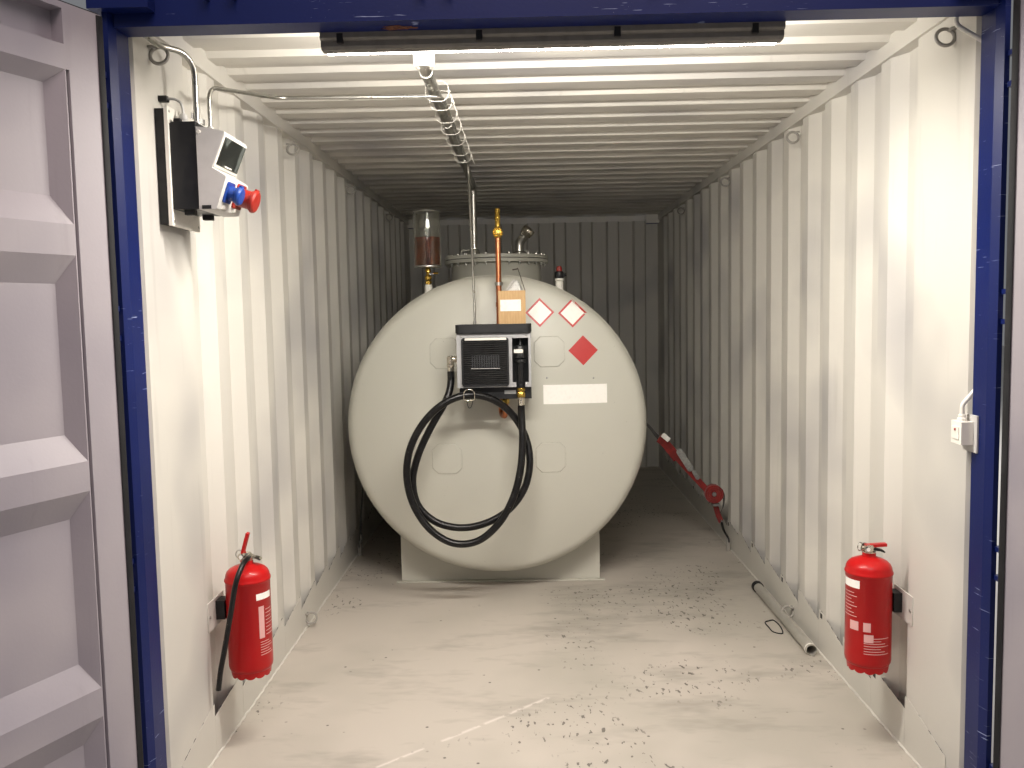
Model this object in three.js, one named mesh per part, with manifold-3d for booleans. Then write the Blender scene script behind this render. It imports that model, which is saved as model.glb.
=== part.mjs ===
// Containerized fuel station: a twenty-foot steel container with open end doors,
// a horizontal diesel tank on saddles, a dispenser with its hose, and the electrics.
// Millimetres, +Z up. Drawn with X = 0 on the container's centre line, Y = 0 at the door
// end and Z = 0 under the corner castings, then moved so that the whole part is centred.

import * as THREE from 'three';
import { mergeVertices } from 'three/addons/utils/BufferGeometryUtils.js';
import Module from 'manifold-3d';

const wasm = await Module();
wasm.setup();

// Container
const LENGTH = 6058;
const HALF_WIDTH = 1219;
const HEIGHT = 2591;
const GAP = 0.3;
const CASTING = { long: 178, wide: 162, high: 118, wall: 28 };
const FLOOR_TOP = 158;
const FLOOR_PLATE = 8;
const OPENING_HALF = 1170;
const HEADER_UNDER = 2438;
const HEADER_FRONT = 46;
const FRAME_BACK = 130;
const WALL_FACE = 1176;
const WALL_DEPTH = 36;
const SHEET = 2;
const RAIL_FACE = 1165;
const RAIL_UNDER = 2500;
const RAIL_TOP = 2572;
const ROOF_UNDER = 2551;
const ROOF_DEPTH = 20;
const REAR_POST = 5988;
const END_WALL_FACE = 5985;
const END_WALL_DEPTH = 43;

// Doors: pin axes, leaf and opening angle
const PIN_X = 1207;
const PIN_Y = 14;
const PIN_RADIUS = 7.4;
const OPEN_ANGLE = THREE.MathUtils.degToRad(113);
const LEAF = { meet: 9, hinge: 1153, front: 45, back: 98, low: 178, high: 2430 };
const HINGE_HEIGHTS = [330, 950, 1650, 2270];
const RIB_HEIGHTS = [678, 1268, 1858];
const TRAY = { crest: 36, slope: 71, end: 35, depth: 36, low: 340, high: 2271 };
const LOCK_ROD = { radius: 17, y: 22, low: 70, high: 2540 };
const ROD_PLACES = { outer: 877, inner: 307 };

// Tank
const TANK = { x: -250, z: 1061, radius: 800, wall: 6, front: 2310, back: 4800, dish: 165, knuckle: 70 };
const SADDLE = { left: -809, right: 307, deep: 250, wall: 8, front: 2462, back: 4398 };
const MANHOLE = { x: -275, y: 3560, radius: 300, flange: 345, under: 1988, top: 2038 };

// Dispenser
const PUMP = { left: -425, right: -62, front: 1900, back: 2100, low: 1236, high: 1606 };
const HOSE_RADIUS = 18;

const AXES = {
  x: [[0, 1, 0], [0, 0, 1], [1, 0, 0]],
  y: [[0, 0, 1], [1, 0, 0], [0, 1, 0]],
  z: [[1, 0, 0], [0, 1, 0], [0, 0, 1]],
};

// Shapes

function box(x0, x1, y0, y1, z0, z1) {
  const geometry = new THREE.BoxGeometry(x1 - x0, y1 - y0, z1 - z0);
  return geometry.translate((x0 + x1) / 2, (y0 + y1) / 2, (z0 + z1) / 2);
}

// A rod along an axis. Its centre line passes through (a, b), the other two coordinates
// in turn: (y, z) for x, (z, x) for y and (x, y) for z.
function rod(axis, a, b, from, to, radius, sides = 16, radiusEnd = radius) {
  const geometry = new THREE.CylinderGeometry(radiusEnd, radius, to - from, sides);
  geometry.rotateX(Math.PI / 2).translate(a, b, (from + to) / 2);
  return turned(geometry, axis);
}

function turned(geometry, axis) {
  const [u, v, w] = AXES[axis].map((c) => new THREE.Vector3(...c));
  return geometry.applyMatrix4(new THREE.Matrix4().makeBasis(u, v, w));
}

// An outline drawn in the two other axes in turn, carried along an axis.
function prism(axis, outline, from, to) {
  const shape = new THREE.Shape(outline.map(([a, b]) => new THREE.Vector2(a, b)));
  const geometry = new THREE.ExtrudeGeometry(shape, { depth: to - from, bevelEnabled: false });
  geometry.translate(0, 0, from);
  return turned(geometry, axis);
}

// A closed profile of (radius, height) points turned about an axis through (a, b).
function spun(axis, a, b, profile, segments) {
  const geometry = new THREE.LatheGeometry(profile.map(([r, h]) => new THREE.Vector2(r, h)), segments);
  geometry.rotateX(Math.PI / 2).translate(a, b, 0);
  return turned(geometry, axis);
}

function circle(radius, sides) {
  const shape = new THREE.Shape();
  for (let i = 0; i < sides; i += 1) {
    const angle = (2 * Math.PI * i) / sides;
    const place = [radius * Math.cos(angle), radius * Math.sin(angle)];
    if (i === 0) {
      shape.moveTo(...place);
    } else {
      shape.lineTo(...place);
    }
  }
  shape.closePath();
  return shape;
}

// A soft tube on one smooth curve through the points.
function hose(points, radius, steps, sides = 8) {
  const path = new THREE.CatmullRomCurve3(points.map((p) => new THREE.Vector3(...p)), false, 'centripetal');
  return new THREE.ExtrudeGeometry(circle(radius, sides), { steps, extrudePath: path, bevelEnabled: false });
}

// A line of straight runs that is sampled at its own points only.
class Route extends THREE.Curve {
  constructor(points) {
    super();
    this.points = points;
  }

  getPoint(t, target = new THREE.Vector3()) {
    return target.copy(this.points[Math.round(t * (this.points.length - 1))]);
  }

  getPointAt(t, target) {
    return this.getPoint(t, target);
  }

  getTangentAt(t, target = new THREE.Vector3()) {
    const i = Math.round(t * (this.points.length - 1));
    const here = this.points[i];
    const back = this.points[Math.max(i - 1, 0)];
    const next = this.points[Math.min(i + 1, this.points.length - 1)];
    const before = here.clone().sub(back).normalize();
    const after = next.clone().sub(here).normalize();
    return target.addVectors(before, after).normalize();
  }
}

// A pipe of straight runs with a round bend at each inner corner.
function pipe(corners, radius, bend, sides = 10, perBend = 4) {
  const places = corners.map((c) => new THREE.Vector3(...c));
  const points = [places[0]];
  for (let i = 1; i < places.length - 1; i += 1) {
    const before = places[i - 1].clone().sub(places[i]).normalize();
    const after = places[i + 1].clone().sub(places[i]).normalize();
    const half = before.angleTo(after) / 2;
    const run = bend / Math.tan(half);
    const middle = before.clone().add(after).normalize();
    const centre = places[i].clone().addScaledVector(middle, bend / Math.sin(half));
    const turn = new THREE.Vector3().crossVectors(after, before).normalize();
    const start = places[i].clone().addScaledVector(before, run).sub(centre);
    for (let k = 0; k <= perBend; k += 1) {
      const angle = ((Math.PI - 2 * half) * k) / perBend;
      points.push(start.clone().applyAxisAngle(turn, angle).add(centre));
    }
  }
  points.push(places.at(-1));
  const path = new Route(points);
  const steps = points.length - 1;
  return new THREE.ExtrudeGeometry(circle(radius, sides), { steps, extrudePath: path, bevelEnabled: false });
}

// A tray between two heights, open at the face y0 and smaller at its floor y1: by `ends` at
// the two sides, by `low` at the bottom edge and by `high` at the top edge.
function tray(x0, x1, z0, z1, y0, y1, ends, low, high) {
  const geometry = box(x0, x1, y1, y0, z0, z1);
  const place = geometry.attributes.position;
  for (let i = 0; i < place.count; i += 1) {
    if (Math.abs(place.getY(i) - y1) < 1e-6) {
      place.setX(i, place.getX(i) + (place.getX(i) < (x0 + x1) / 2 ? ends : -ends));
      place.setZ(i, place.getZ(i) + (place.getZ(i) < (z0 + z1) / 2 ? low : -high));
    }
  }
  return geometry;
}

// Joins and cuts

function solid(geometry) {
  const bare = geometry.clone();
  bare.deleteAttribute('normal');
  bare.deleteAttribute('uv');
  const merged = mergeVertices(bare, 1e-3);
  const vertProperties = new Float32Array(merged.attributes.position.array);
  const triVerts = new Uint32Array(merged.index.array);
  return new wasm.Manifold(new wasm.Mesh({ numProp: 3, vertProperties, triVerts }));
}

function surface(manifold) {
  const mesh = manifold.getMesh();
  const geometry = new THREE.BufferGeometry();
  geometry.setAttribute('position', new THREE.BufferAttribute(mesh.vertProperties, 3));
  geometry.setIndex(new THREE.BufferAttribute(mesh.triVerts, 1));
  geometry.computeVertexNormals();
  return geometry;
}

function join(...parts) {
  return surface(parts.map(solid).reduce((whole, part) => whole.add(part)));
}

function cut(body, ...tools) {
  return surface(tools.map(solid).reduce((rest, tool) => rest.subtract(tool), solid(body)));
}

// The same geometry on the other side of the centre line.
function mirrored(geometry) {
  const copy = geometry.clone().scale(-1, 1, 1);
  const flat = copy.index ? copy.toNonIndexed() : copy;
  const place = flat.attributes.position;
  for (let i = 0; i < place.count; i += 3) {
    const second = [place.getX(i + 1), place.getY(i + 1), place.getZ(i + 1)];
    place.setXYZ(i + 1, place.getX(i + 2), place.getY(i + 2), place.getZ(i + 2));
    place.setXYZ(i + 2, ...second);
  }
  flat.computeVertexNormals();
  return flat;
}

// Materials

const PAINT = {
  blue: [0x1d2a66, 0.5, 0.1],
  grey: [0xc9c4b8, 0.6, 0.1],
  tank: [0xb5b3a6, 0.45, 0.1],
  steel: [0x9a9a98, 0.35, 0.9],
  copper: [0xb4653c, 0.4, 0.9],
  brass: [0xb08d3c, 0.35, 0.9],
  black: [0x1b1b1c, 0.6, 0],
  silver: [0x9fa2a6, 0.45, 0.3],
  red: [0xc4191c, 0.3, 0.1],
  white: [0xe4e2dd, 0.5, 0],
  glass: [0xd8dad2, 0.1, 0],
  card: [0xb98a55, 0.9, 0],
  lamp: [0x6c6a66, 0.5, 0],
};

const station = new THREE.Group();

function add(name, paint, geometry) {
  const [color, roughness, metalness] = PAINT[paint];
  const mesh = new THREE.Mesh(geometry, new THREE.MeshStandardMaterial({ color, roughness, metalness }));
  mesh.name = name;
  station.add(mesh);
  return mesh;
}

// Corner posts with their castings

function slot(axis, a, b, from, to, long, wide, alongFirst) {
  const shape = new THREE.Shape();
  const run = (long - wide) / 2;
  const radius = wide / 2;
  const points = [];
  for (let i = 0; i <= 4; i += 1) {
    const angle = (Math.PI * i) / 4 - Math.PI / 2;
    points.push([run + radius * Math.cos(angle), radius * Math.sin(angle)]);
  }
  const whole = [...points, ...points.map(([u, v]) => [-u, -v])];
  const placed = whole.map(([u, v]) => (alongFirst ? [a + u, b + v] : [a - v, b + u]));
  shape.setFromPoints(placed.map(([u, v]) => new THREE.Vector2(u, v)));
  const geometry = new THREE.ExtrudeGeometry(shape, { depth: to - from, bevelEnabled: false });
  return turned(geometry.translate(0, 0, from), axis);
}

// The casting at the right-hand side (+X) of one end, low or high, with its three slots.
function casting(doorEnd, high) {
  const y0 = doorEnd ? 0 : LENGTH - CASTING.long;
  const y1 = y0 + CASTING.long;
  const z0 = high ? HEIGHT - CASTING.high : 0;
  const z1 = z0 + CASTING.high;
  const x0 = HALF_WIDTH - CASTING.wide;
  const t = CASTING.wall;
  const middle = [(x0 + HALF_WIDTH) / 2, (y0 + y1) / 2, (z0 + z1) / 2];
  const room = box(x0 + t, HALF_WIDTH - t, y0 + t, y1 - t, z0 + t, z1 - t);
  const level = high ? [z1 - t - 1, z1 + 1] : [z0 - 1, z0 + t + 1];
  const end = doorEnd ? [y0 - 1, y0 + t + 1] : [y1 - t - 1, y1 + 1];
  const twist = slot('z', middle[0], middle[1], ...level, 124, 64, false);
  const side = slot('x', middle[1], middle[2], HALF_WIDTH - t - 1, HALF_WIDTH + 1, 79, 51, true);
  const face = slot('y', middle[2], middle[0], ...end, 79, 51, false);
  return cut(box(x0, HALF_WIDTH, y0, y1, z0, z1), room, twist, side, face);
}

function hingeLugs() {
  const parts = [];
  for (const z of HINGE_HEIGHTS) {
    for (const side of [-1, 1]) {
      const near = z + side * 33;
      const far = z + side * 47;
      parts.push(box(1188, HALF_WIDTH, 1, 34, Math.min(near, far), Math.max(near, far)));
    }
    parts.push(rod('z', PIN_X, PIN_Y, z - 40, z + 40, PIN_RADIUS, 10));
  }
  return parts;
}

function doorPost() {
  const outline = [
    [1170, 58], [1180, 30], [1194, 30], [1194, 110], [HALF_WIDTH, 110], [HALF_WIDTH, FRAME_BACK],
    [1170, FRAME_BACK],
  ];
  const post = prism('z', outline, CASTING.high - 1, HEIGHT - CASTING.high + 1);
  return join(post, casting(true, false), casting(true, true), ...hingeLugs());
}

function endPost() {
  const outline = [
    [WALL_FACE, REAR_POST], [HALF_WIDTH, REAR_POST], [HALF_WIDTH, LENGTH], [1130, LENGTH],
    [1130, LENGTH - 8], [1195, LENGTH - 24], [WALL_FACE, REAR_POST + 26],
  ];
  const post = prism('z', outline, CASTING.high - 1, HEIGHT - CASTING.high + 1);
  return join(post, casting(false, false), casting(false, true));
}

for (const [name, geometry] of [['door', doorPost()], ['end', endPost()]]) {
  add(`${name}_post_right`, 'blue', geometry);
  add(`${name}_post_left`, 'blue', mirrored(geometry));
}

// Sill, header and rails

const BETWEEN = HALF_WIDTH - CASTING.wide - GAP;

function keepers(z0, z1) {
  const parts = [];
  for (const place of Object.values(ROD_PLACES)) {
    for (const side of [-1, 1]) {
      for (const edge of [-1, 1]) {
        const x = side * place + edge * 36;
        parts.push(box(x - 4, x + 4, 8, HEADER_FRONT + 2, z0, z1));
      }
    }
  }
  return parts;
}

const doorway = OPENING_HALF - GAP;
const sillTop = box(-doorway, doorway, HEADER_FRONT, 150, CASTING.high + GAP, FLOOR_TOP);
const sillBar = box(-BETWEEN, BETWEEN, HEADER_FRONT, 150, 20, CASTING.high + 1);
add('door_sill', 'blue', join(sillTop, sillBar, ...keepers(60, 110)));

const headerLow = box(-doorway, doorway, HEADER_FRONT, FRAME_BACK, HEADER_UNDER, HEIGHT - CASTING.high - GAP);
const headerBar = box(-BETWEEN, BETWEEN, HEADER_FRONT, FRAME_BACK, HEADER_UNDER + 1, HEIGHT - 8);
const headerTop = box(-BETWEEN, BETWEEN, FRAME_BACK - 1, CASTING.long, ROOF_UNDER, HEIGHT - 8);
add('door_header', 'blue', join(headerLow, headerBar, headerTop, ...keepers(2500, 2550)));

add('end_sill', 'blue', box(-BETWEEN, BETWEEN, REAR_POST + GAP, LENGTH - 8, 20, FLOOR_TOP));
const endBar = box(-BETWEEN, BETWEEN, REAR_POST + GAP, LENGTH - 8, RAIL_UNDER, HEIGHT - 8);
const endTop = box(-BETWEEN, BETWEEN, LENGTH - CASTING.long, REAR_POST + GAP + 1, ROOF_UNDER, HEIGHT - 8);
add('end_header', 'blue', join(endBar, endTop));

function baseRail() {
  const web = [[18, 1171], [18, HALF_WIDTH], [FLOOR_TOP, HALF_WIDTH], [FLOOR_TOP, 1171], [150, 1171],
    [150, 1213], [26, 1213], [26, 1171]];
  const channel = prism('y', web, CASTING.long + GAP, LENGTH - CASTING.long - GAP);
  const flange = box(1171, HALF_WIDTH, FRAME_BACK + GAP, REAR_POST - GAP, 150, FLOOR_TOP);
  return join(channel, flange);
}

function topRail() {
  return box(RAIL_FACE, HALF_WIDTH, CASTING.long + GAP, LENGTH - CASTING.long - GAP, RAIL_UNDER, RAIL_TOP);
}

for (const [name, geometry] of [['base_rail', baseRail()], ['top_rail', topRail()]]) {
  add(`${name}_right`, 'blue', geometry);
  add(`${name}_left`, 'blue', mirrored(geometry));
}

// Floor, walls and roof

function floor() {
  const half = 1171 - GAP;
  const plate = box(-half, half, 150 + GAP, REAR_POST - GAP, FLOOR_TOP - FLOOR_PLATE, FLOOR_TOP);
  const bearers = [];
  for (let i = 0; i < 15; i += 1) {
    const y = 300 + i * 385;
    bearers.push(box(-half, half, y, y + 45, 35, FLOOR_TOP - FLOOR_PLATE + 1));
  }
  return join(plate, ...bearers);
}

add('floor', 'grey', floor());

// The room that the four upper castings take from the walls.
function castingRooms() {
  const low = HEIGHT - CASTING.high - GAP;
  const near = HALF_WIDTH - CASTING.wide - GAP;
  const ends = [[-1, CASTING.long + GAP], [LENGTH - CASTING.long - GAP, LENGTH + 1]];
  const sides = [[-HALF_WIDTH - 1, -near], [near, HALF_WIDTH + 1]];
  return ends.flatMap(([y0, y1]) => sides.map(([x0, x1]) => box(x0, x1, y0, y1, low, HEIGHT + 1)));
}

const RECESS = { first: 528, pitch: 287.4, slope: 68, flat: 74, count: 18 };

function sideWall() {
  const path = [[WALL_FACE + 35, FRAME_BACK + GAP], [WALL_FACE + 35, 150], [WALL_FACE, 170]];
  for (let i = 0; i < RECESS.count; i += 1) {
    const y = RECESS.first + i * RECESS.pitch;
    const far = y + RECESS.slope + RECESS.flat;
    path.push([WALL_FACE, y], [WALL_FACE + WALL_DEPTH, y + RECESS.slope]);
    path.push([WALL_FACE + WALL_DEPTH, far], [WALL_FACE, far + RECESS.slope]);
  }
  path.push([WALL_FACE, REAR_POST - GAP]);
  const back = path.map(([x, y]) => [x + SHEET, y]).reverse();
  return cut(prism('z', [...path, ...back], FLOOR_TOP + GAP, RAIL_UNDER - GAP), ...castingRooms());
}

const wall = sideWall();
add('side_wall_right', 'grey', wall);
add('side_wall_left', 'grey', mirrored(wall));

function endWall() {
  const half = WALL_FACE - GAP;
  const path = [[-half, END_WALL_FACE]];
  for (let i = -4; i <= 4; i += 1) {
    const x = i * 250 - 64;
    path.push([x, END_WALL_FACE], [x + 18, END_WALL_FACE - END_WALL_DEPTH]);
    path.push([x + 110, END_WALL_FACE - END_WALL_DEPTH], [x + 128, END_WALL_FACE]);
  }
  path.push([half, END_WALL_FACE]);
  const back = path.map(([x, y]) => [x, y + SHEET]).reverse();
  return cut(prism('z', [...path, ...back], FLOOR_TOP + GAP, RAIL_UNDER - GAP), ...castingRooms());
}

add('end_wall', 'grey', endWall());

function roof() {
  const half = RAIL_FACE - GAP;
  const path = [[CASTING.long + GAP, ROOF_UNDER]];
  for (let i = 0; i < 27; i += 1) {
    const y = 190 + i * 209;
    path.push([y, ROOF_UNDER], [y + 14, ROOF_UNDER + ROOF_DEPTH]);
    path.push([y + 105, ROOF_UNDER + ROOF_DEPTH], [y + 119, ROOF_UNDER]);
  }
  path.push([LENGTH - CASTING.long - GAP, ROOF_UNDER]);
  const back = path.map(([y, z]) => [y, z + SHEET]).reverse();
  return prism('x', [...path, ...back], -half, half);
}

add('roof', 'grey', roof());

// Doors: one leaf is drawn shut at the right-hand side, mirrored, and both are turned open

// The four trays of the pressed sheet between the ribs, made larger all round by `grow`.
function leafTrays(x0, x1, grow) {
  const { back } = LEAF;
  const { crest, slope, end, depth, low, high } = TRAY;
  const edges = [low, ...RIB_HEIGHTS.flatMap((z) => [z - crest, z + crest]), high];
  const trays = [];
  for (let i = 0; i < edges.length; i += 2) {
    const under = i === 0 ? end : slope;
    const over = i === edges.length - 2 ? end : slope;
    trays.push(tray(x0 - grow, x1 + grow, edges[i] - grow, edges[i + 1] + grow, back + 1, back - depth - grow,
      end, under, over));
  }
  return trays;
}

function leafPlate() {
  const { meet, hinge, front, back, low, high } = LEAF;
  const x0 = meet + 100;
  const x1 = hinge - 113;
  const slab = box(meet, hinge, front, back, low, high);
  const behind = cut(box(x0 + 4, x1 - 4, front - 1, back - 4, TRAY.low, TRAY.high), ...leafTrays(x0, x1, 4));
  const grooves = [box(x0 - 11, x0 - 3, 68, back + 1, TRAY.low, TRAY.high),
    box(x1 + 2, x1 + 12, 68, back + 1, TRAY.low, TRAY.high)];
  const rails = [box(x0, x1, 58, back + 1, 2330, 2415), box(x0, x1, 58, back + 1, 193, 281)];
  return cut(slab, ...leafTrays(x0, x1, 0), behind, ...grooves, ...rails);
}

function hingeBlades() {
  const parts = [];
  for (const z of HINGE_HEIGHTS) {
    const knuckle = rod('z', PIN_X, PIN_Y, z - 30, z + 30, 12, 12);
    const blade = box(1118, 1200, PIN_Y - 5, PIN_Y + 5, z - 30, z + 30);
    const bore = rod('z', PIN_X, PIN_Y, z - 31, z + 31, PIN_RADIUS + 0.6, 12);
    const pad = box(1118, 1150, PIN_Y + 4, LEAF.front + 1, z - 30, z + 30);
    parts.push(join(cut(join(knuckle, blade), bore), pad));
  }
  return parts;
}

function rodGuides() {
  const parts = [];
  for (const x of Object.values(ROD_PLACES)) {
    for (const z of [300, 900, 1500, 2100, 2380]) {
      const back = LOCK_ROD.y + LOCK_ROD.radius + GAP;
      parts.push(box(x - 32, x + 32, back, LEAF.back - TRAY.depth - 2, z - 30, z + 30));
    }
  }
  return parts;
}

function doorLeaf() {
  return join(leafPlate(), ...hingeBlades(), ...rodGuides());
}

function lockRod(x, handleHeight, reach) {
  const { radius, y, low, high } = LOCK_ROD;
  const bar = rod('z', x, y, low, high, radius, 12);
  const cams = [low, high - 44].map((z) => box(x - 26, x + 26, y - 12, y + 16, z, z + 44));
  const [near, far] = reach > 0 ? [x, x + reach] : [x + reach, x];
  const handle = box(near, far, y - 12, y - 2, handleHeight, handleHeight + 32);
  return join(bar, ...cams, handle);
}

const doorShapes = [
  ['door', 'blue', doorLeaf()],
  ['door_outer_rod', 'steel', lockRod(ROD_PLACES.outer, 1120, -330)],
  ['door_inner_rod', 'steel', lockRod(ROD_PLACES.inner, 1000, 330)],
];

for (const [name, paint, geometry] of doorShapes) {
  for (const [side, sign] of [['right', 1], ['left', -1]]) {
    const own = (sign > 0 ? geometry.clone() : mirrored(geometry)).translate(-sign * PIN_X, -PIN_Y, 0);
    const mesh = add(`${side}_${name}`, paint, own);
    mesh.position.set(sign * PIN_X, PIN_Y, 0);
    mesh.rotation.z = sign * OPEN_ANGLE;
  }
}

// Tank

// Points of a dished end from the rim to the axis, at a distance inside or outside the plate.
function dishLine(offset) {
  const { radius, dish, knuckle } = TANK;
  const run = radius - knuckle;
  const crown = (dish * dish - knuckle * knuckle + run * run) / (2 * (dish - knuckle));
  const lean = Math.asin(run / (crown - knuckle));
  const points = [];
  for (let i = 0; i <= 2; i += 1) {
    const angle = (i / 2) * (Math.PI / 2 - lean);
    points.push([run + (knuckle + offset) * Math.cos(angle), (knuckle + offset) * Math.sin(angle)]);
  }
  for (let i = 2; i >= 0; i -= 1) {
    const angle = (lean * i) / 3;
    points.push([(crown + offset) * Math.sin(angle), dish - crown + (crown + offset) * Math.cos(angle)]);
  }
  return points;
}

const TANK_SIDES = 40;
const TANK_STEP = 360 / TANK_SIDES;

// Heights run along +Y from the rim, so the front end is turned round.
function tankHead(front) {
  const outer = dishLine(0);
  const inner = dishLine(-TANK.wall).reverse();
  const profile = [...outer, ...inner, outer[0]];
  const head = spun('z', 0, 0, profile, TANK_SIDES);
  head.rotateX(front ? Math.PI / 2 : -Math.PI / 2);
  return head.translate(TANK.x, front ? TANK.front - GAP : TANK.back + GAP, TANK.z);
}

function headEnvelope(offset) {
  const profile = [[0, -60], [TANK.radius + offset, -60], ...dishLine(offset)];
  const body = spun('z', 0, 0, profile, TANK_SIDES);
  return body.rotateX(Math.PI / 2).translate(TANK.x, TANK.front - GAP, TANK.z);
}

function tankShell() {
  const { x, z, radius, wall: t, front, back } = TANK;
  const ring = cut(rod('y', z, x, front, back, radius, TANK_SIDES),
    rod('y', z, x, front - 1, back + 1, radius - t, TANK_SIDES));
  return cut(ring, rod('z', MANHOLE.x, MANHOLE.y, z + 400, z + 900, MANHOLE.radius - 12, 32));
}

function saddle(y0) {
  const { left, right, deep, wall: t } = SADDLE;
  const low = FLOOR_TOP + GAP;
  const shell = box(left, right, y0, y0 + deep, low, 560);
  const room = box(left + t, right - t, y0 + t, y0 + deep - t, low - 1, 561);
  return cut(shell, room, rod('y', TANK.z, TANK.x, y0 - 1, y0 + deep + 1, TANK.radius + GAP, TANK_SIDES));
}

add('tank_shell', 'tank', tankShell());
add('tank_front_head', 'tank', tankHead(true));
add('tank_rear_head', 'tank', tankHead(false));
add('tank_front_saddle', 'tank', saddle(SADDLE.front));
add('tank_rear_saddle', 'tank', saddle(SADDLE.back));

function manholeNeck() {
  const { x, y, radius, flange, under } = MANHOLE;
  const neck = rod('z', x, y, TANK.z + 500, under + 24, radius, 32);
  const rim = rod('z', x, y, under, under + 24, flange, 32);
  const bore = rod('z', x, y, TANK.z + 400, under + 60, radius - 10, 32);
  const tank = rod('y', TANK.z, TANK.x, TANK.front, TANK.back, TANK.radius + GAP, TANK_SIDES);
  return cut(join(neck, rim), bore, tank);
}

add('manhole_neck', 'tank', manholeNeck());
const coverUnder = MANHOLE.under + 24 + GAP;
add('manhole_cover', 'tank', rod('z', MANHOLE.x, MANHOLE.y, coverUnder, MANHOLE.top, MANHOLE.flange, 32));

// A stub on the tank's rounded top, cut to sit on the plate.
function onTank(...parts) {
  const tank = rod('y', TANK.z, TANK.x, TANK.front, TANK.back, TANK.radius + GAP, TANK_SIDES);
  return cut(join(...parts), tank);
}

const LEAK = { x: -636, y: 2650, radius: 78, low: 1925, high: 2245 };
add('leak_vessel', 'glass', rod('z', LEAK.x, LEAK.y, LEAK.low, LEAK.high, LEAK.radius, 24));
add('leak_vessel_valve', 'brass', onTank(
  rod('z', LEAK.x, LEAK.y, 1700, 1830, 22, 12),
  rod('z', LEAK.x, LEAK.y, 1829, LEAK.low - GAP, 12, 12),
  rod('y', 1868, LEAK.x, LEAK.y - 22, LEAK.y + 22, 20, 12),
  box(LEAK.x + 4, LEAK.x + 52, LEAK.y - 6, LEAK.y + 6, 1886, 1896),
));

const SENSOR = { x: 112, y: 2700 };
add('overfill_sensor', 'white', onTank(
  rod('z', SENSOR.x, SENSOR.y, 1690, 1850, 22, 12),
  rod('z', SENSOR.x, SENSOR.y, 1849, 1890, 27, 12),
  rod('z', SENSOR.x, SENSOR.y, 1889, 1922, 16, 12),
));

const FILL = { x: -118, y: 3420 };
add('fill_pipe', 'steel', join(
  rod('z', FILL.x, FILL.y, MANHOLE.top + GAP, 2064, 46, 16),
  pipe([[FILL.x, FILL.y, 2056], [FILL.x, FILL.y, 2116], [FILL.x + 52, FILL.y - 24, 2182]], 29, 54, 12),
  pipe([[FILL.x + 43, FILL.y - 19, 2170], [FILL.x + 71, FILL.y - 32, 2206]], 42, 0, 16),
));

const VENT = { x: -408, z: 2480, radius: 21, door: 640, tank: 3330 };
add('vent_pipe', 'steel', join(
  pipe([
    [VENT.x, VENT.door, ROOF_UNDER - GAP], [VENT.x, VENT.door, VENT.z], [VENT.x, VENT.tank, VENT.z],
    [VENT.x, VENT.tank, MANHOLE.top + 10],
  ], VENT.radius, 48, 12),
  rod('z', VENT.x, VENT.tank, MANHOLE.top + GAP, MANHOLE.top + 30, 34, 16),
));

// Suction line down the front of the tank

const SUCTION = { x: -219, y: 2123, radius: 14, low: 1140 };
add('suction_line', 'copper', pipe([
  [SUCTION.x, SUCTION.y, 2040], [SUCTION.x, SUCTION.y, SUCTION.low],
  [SUCTION.x + 24, 2015, SUCTION.low], [SUCTION.x + 24, 2015, PUMP.low - GAP],
], SUCTION.radius, 34, 10));
add('suction_valve', 'brass', join(
  rod('z', SUCTION.x, SUCTION.y, 2040 + GAP, 2092, 20, 12),
  rod('y', 2066, SUCTION.x, SUCTION.y - 26, SUCTION.y + 26, 26, 16),
  rod('z', SUCTION.x, SUCTION.y, 2091, 2188, 13, 12),
));

// Dispenser

function dispenserBody() {
  const { left, right, front, back, low, high } = PUMP;
  const shell = box(left, right, front + 12, back, low + 60, high - 42);
  const cover = box(left - 4, right + 4, front - 6, back, high - 44, high);
  const base = box(left + 6, right, front + 52, back, low, low + 62);
  const holster = box(right - 92, right - 12, front - 1, front + 96, low + 58, high - 56);
  return cut(join(shell, cover, base), holster);
}

add('dispenser', 'silver', dispenserBody());
add('dispenser_grille', 'black', box(PUMP.left + 26, PUMP.right - 112, PUMP.front, PUMP.front + 12 - GAP,
  PUMP.low + 70, PUMP.high - 62));

function bracket() {
  const { left, right, back, low, high } = PUMP;
  const plate = box(left + 60, right - 60, back + GAP, back + 6, low + 60, high - 60);
  const legs = [left + 60, right - 100].map((x) => box(x, x + 40, back + 1, 2260, low + 60, high - 60));
  return cut(join(plate, ...legs), headEnvelope(GAP));
}

add('dispenser_bracket', 'steel', bracket());

const NOZZLE = { x: PUMP.right - 52 };
const COUPLING = { x: NOZZLE.x, y: PUMP.front + 27 };
add('nozzle', 'black', join(
  rod('z', NOZZLE.x, COUPLING.y, 1312, 1440, 20, 12),
  box(NOZZLE.x - 24, NOZZLE.x + 24, PUMP.front + 4, PUMP.front + 70, 1438, 1490),
  pipe([
    [NOZZLE.x, PUMP.front + 34, 1486], [NOZZLE.x, PUMP.front + 40, 1510], [NOZZLE.x, PUMP.front + 66, 1536],
  ], 11, 30, 10),
));

add('hose_coupling', 'brass', join(
  rod('z', COUPLING.x, COUPLING.y, 1264, 1312 - GAP, 21, 12),
  rod('z', COUPLING.x, COUPLING.y, 1205, 1265, 17, 12),
));

const OUTLET = { x: -463, y: 1990, z: 1435 };
add('hose_outlet', 'brass', join(
  rod('x', OUTLET.y, OUTLET.z, OUTLET.x - 10, PUMP.left - GAP, 18, 12),
  rod('z', OUTLET.x, OUTLET.y, 1375, OUTLET.z + 18, 18, 12),
));

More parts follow.
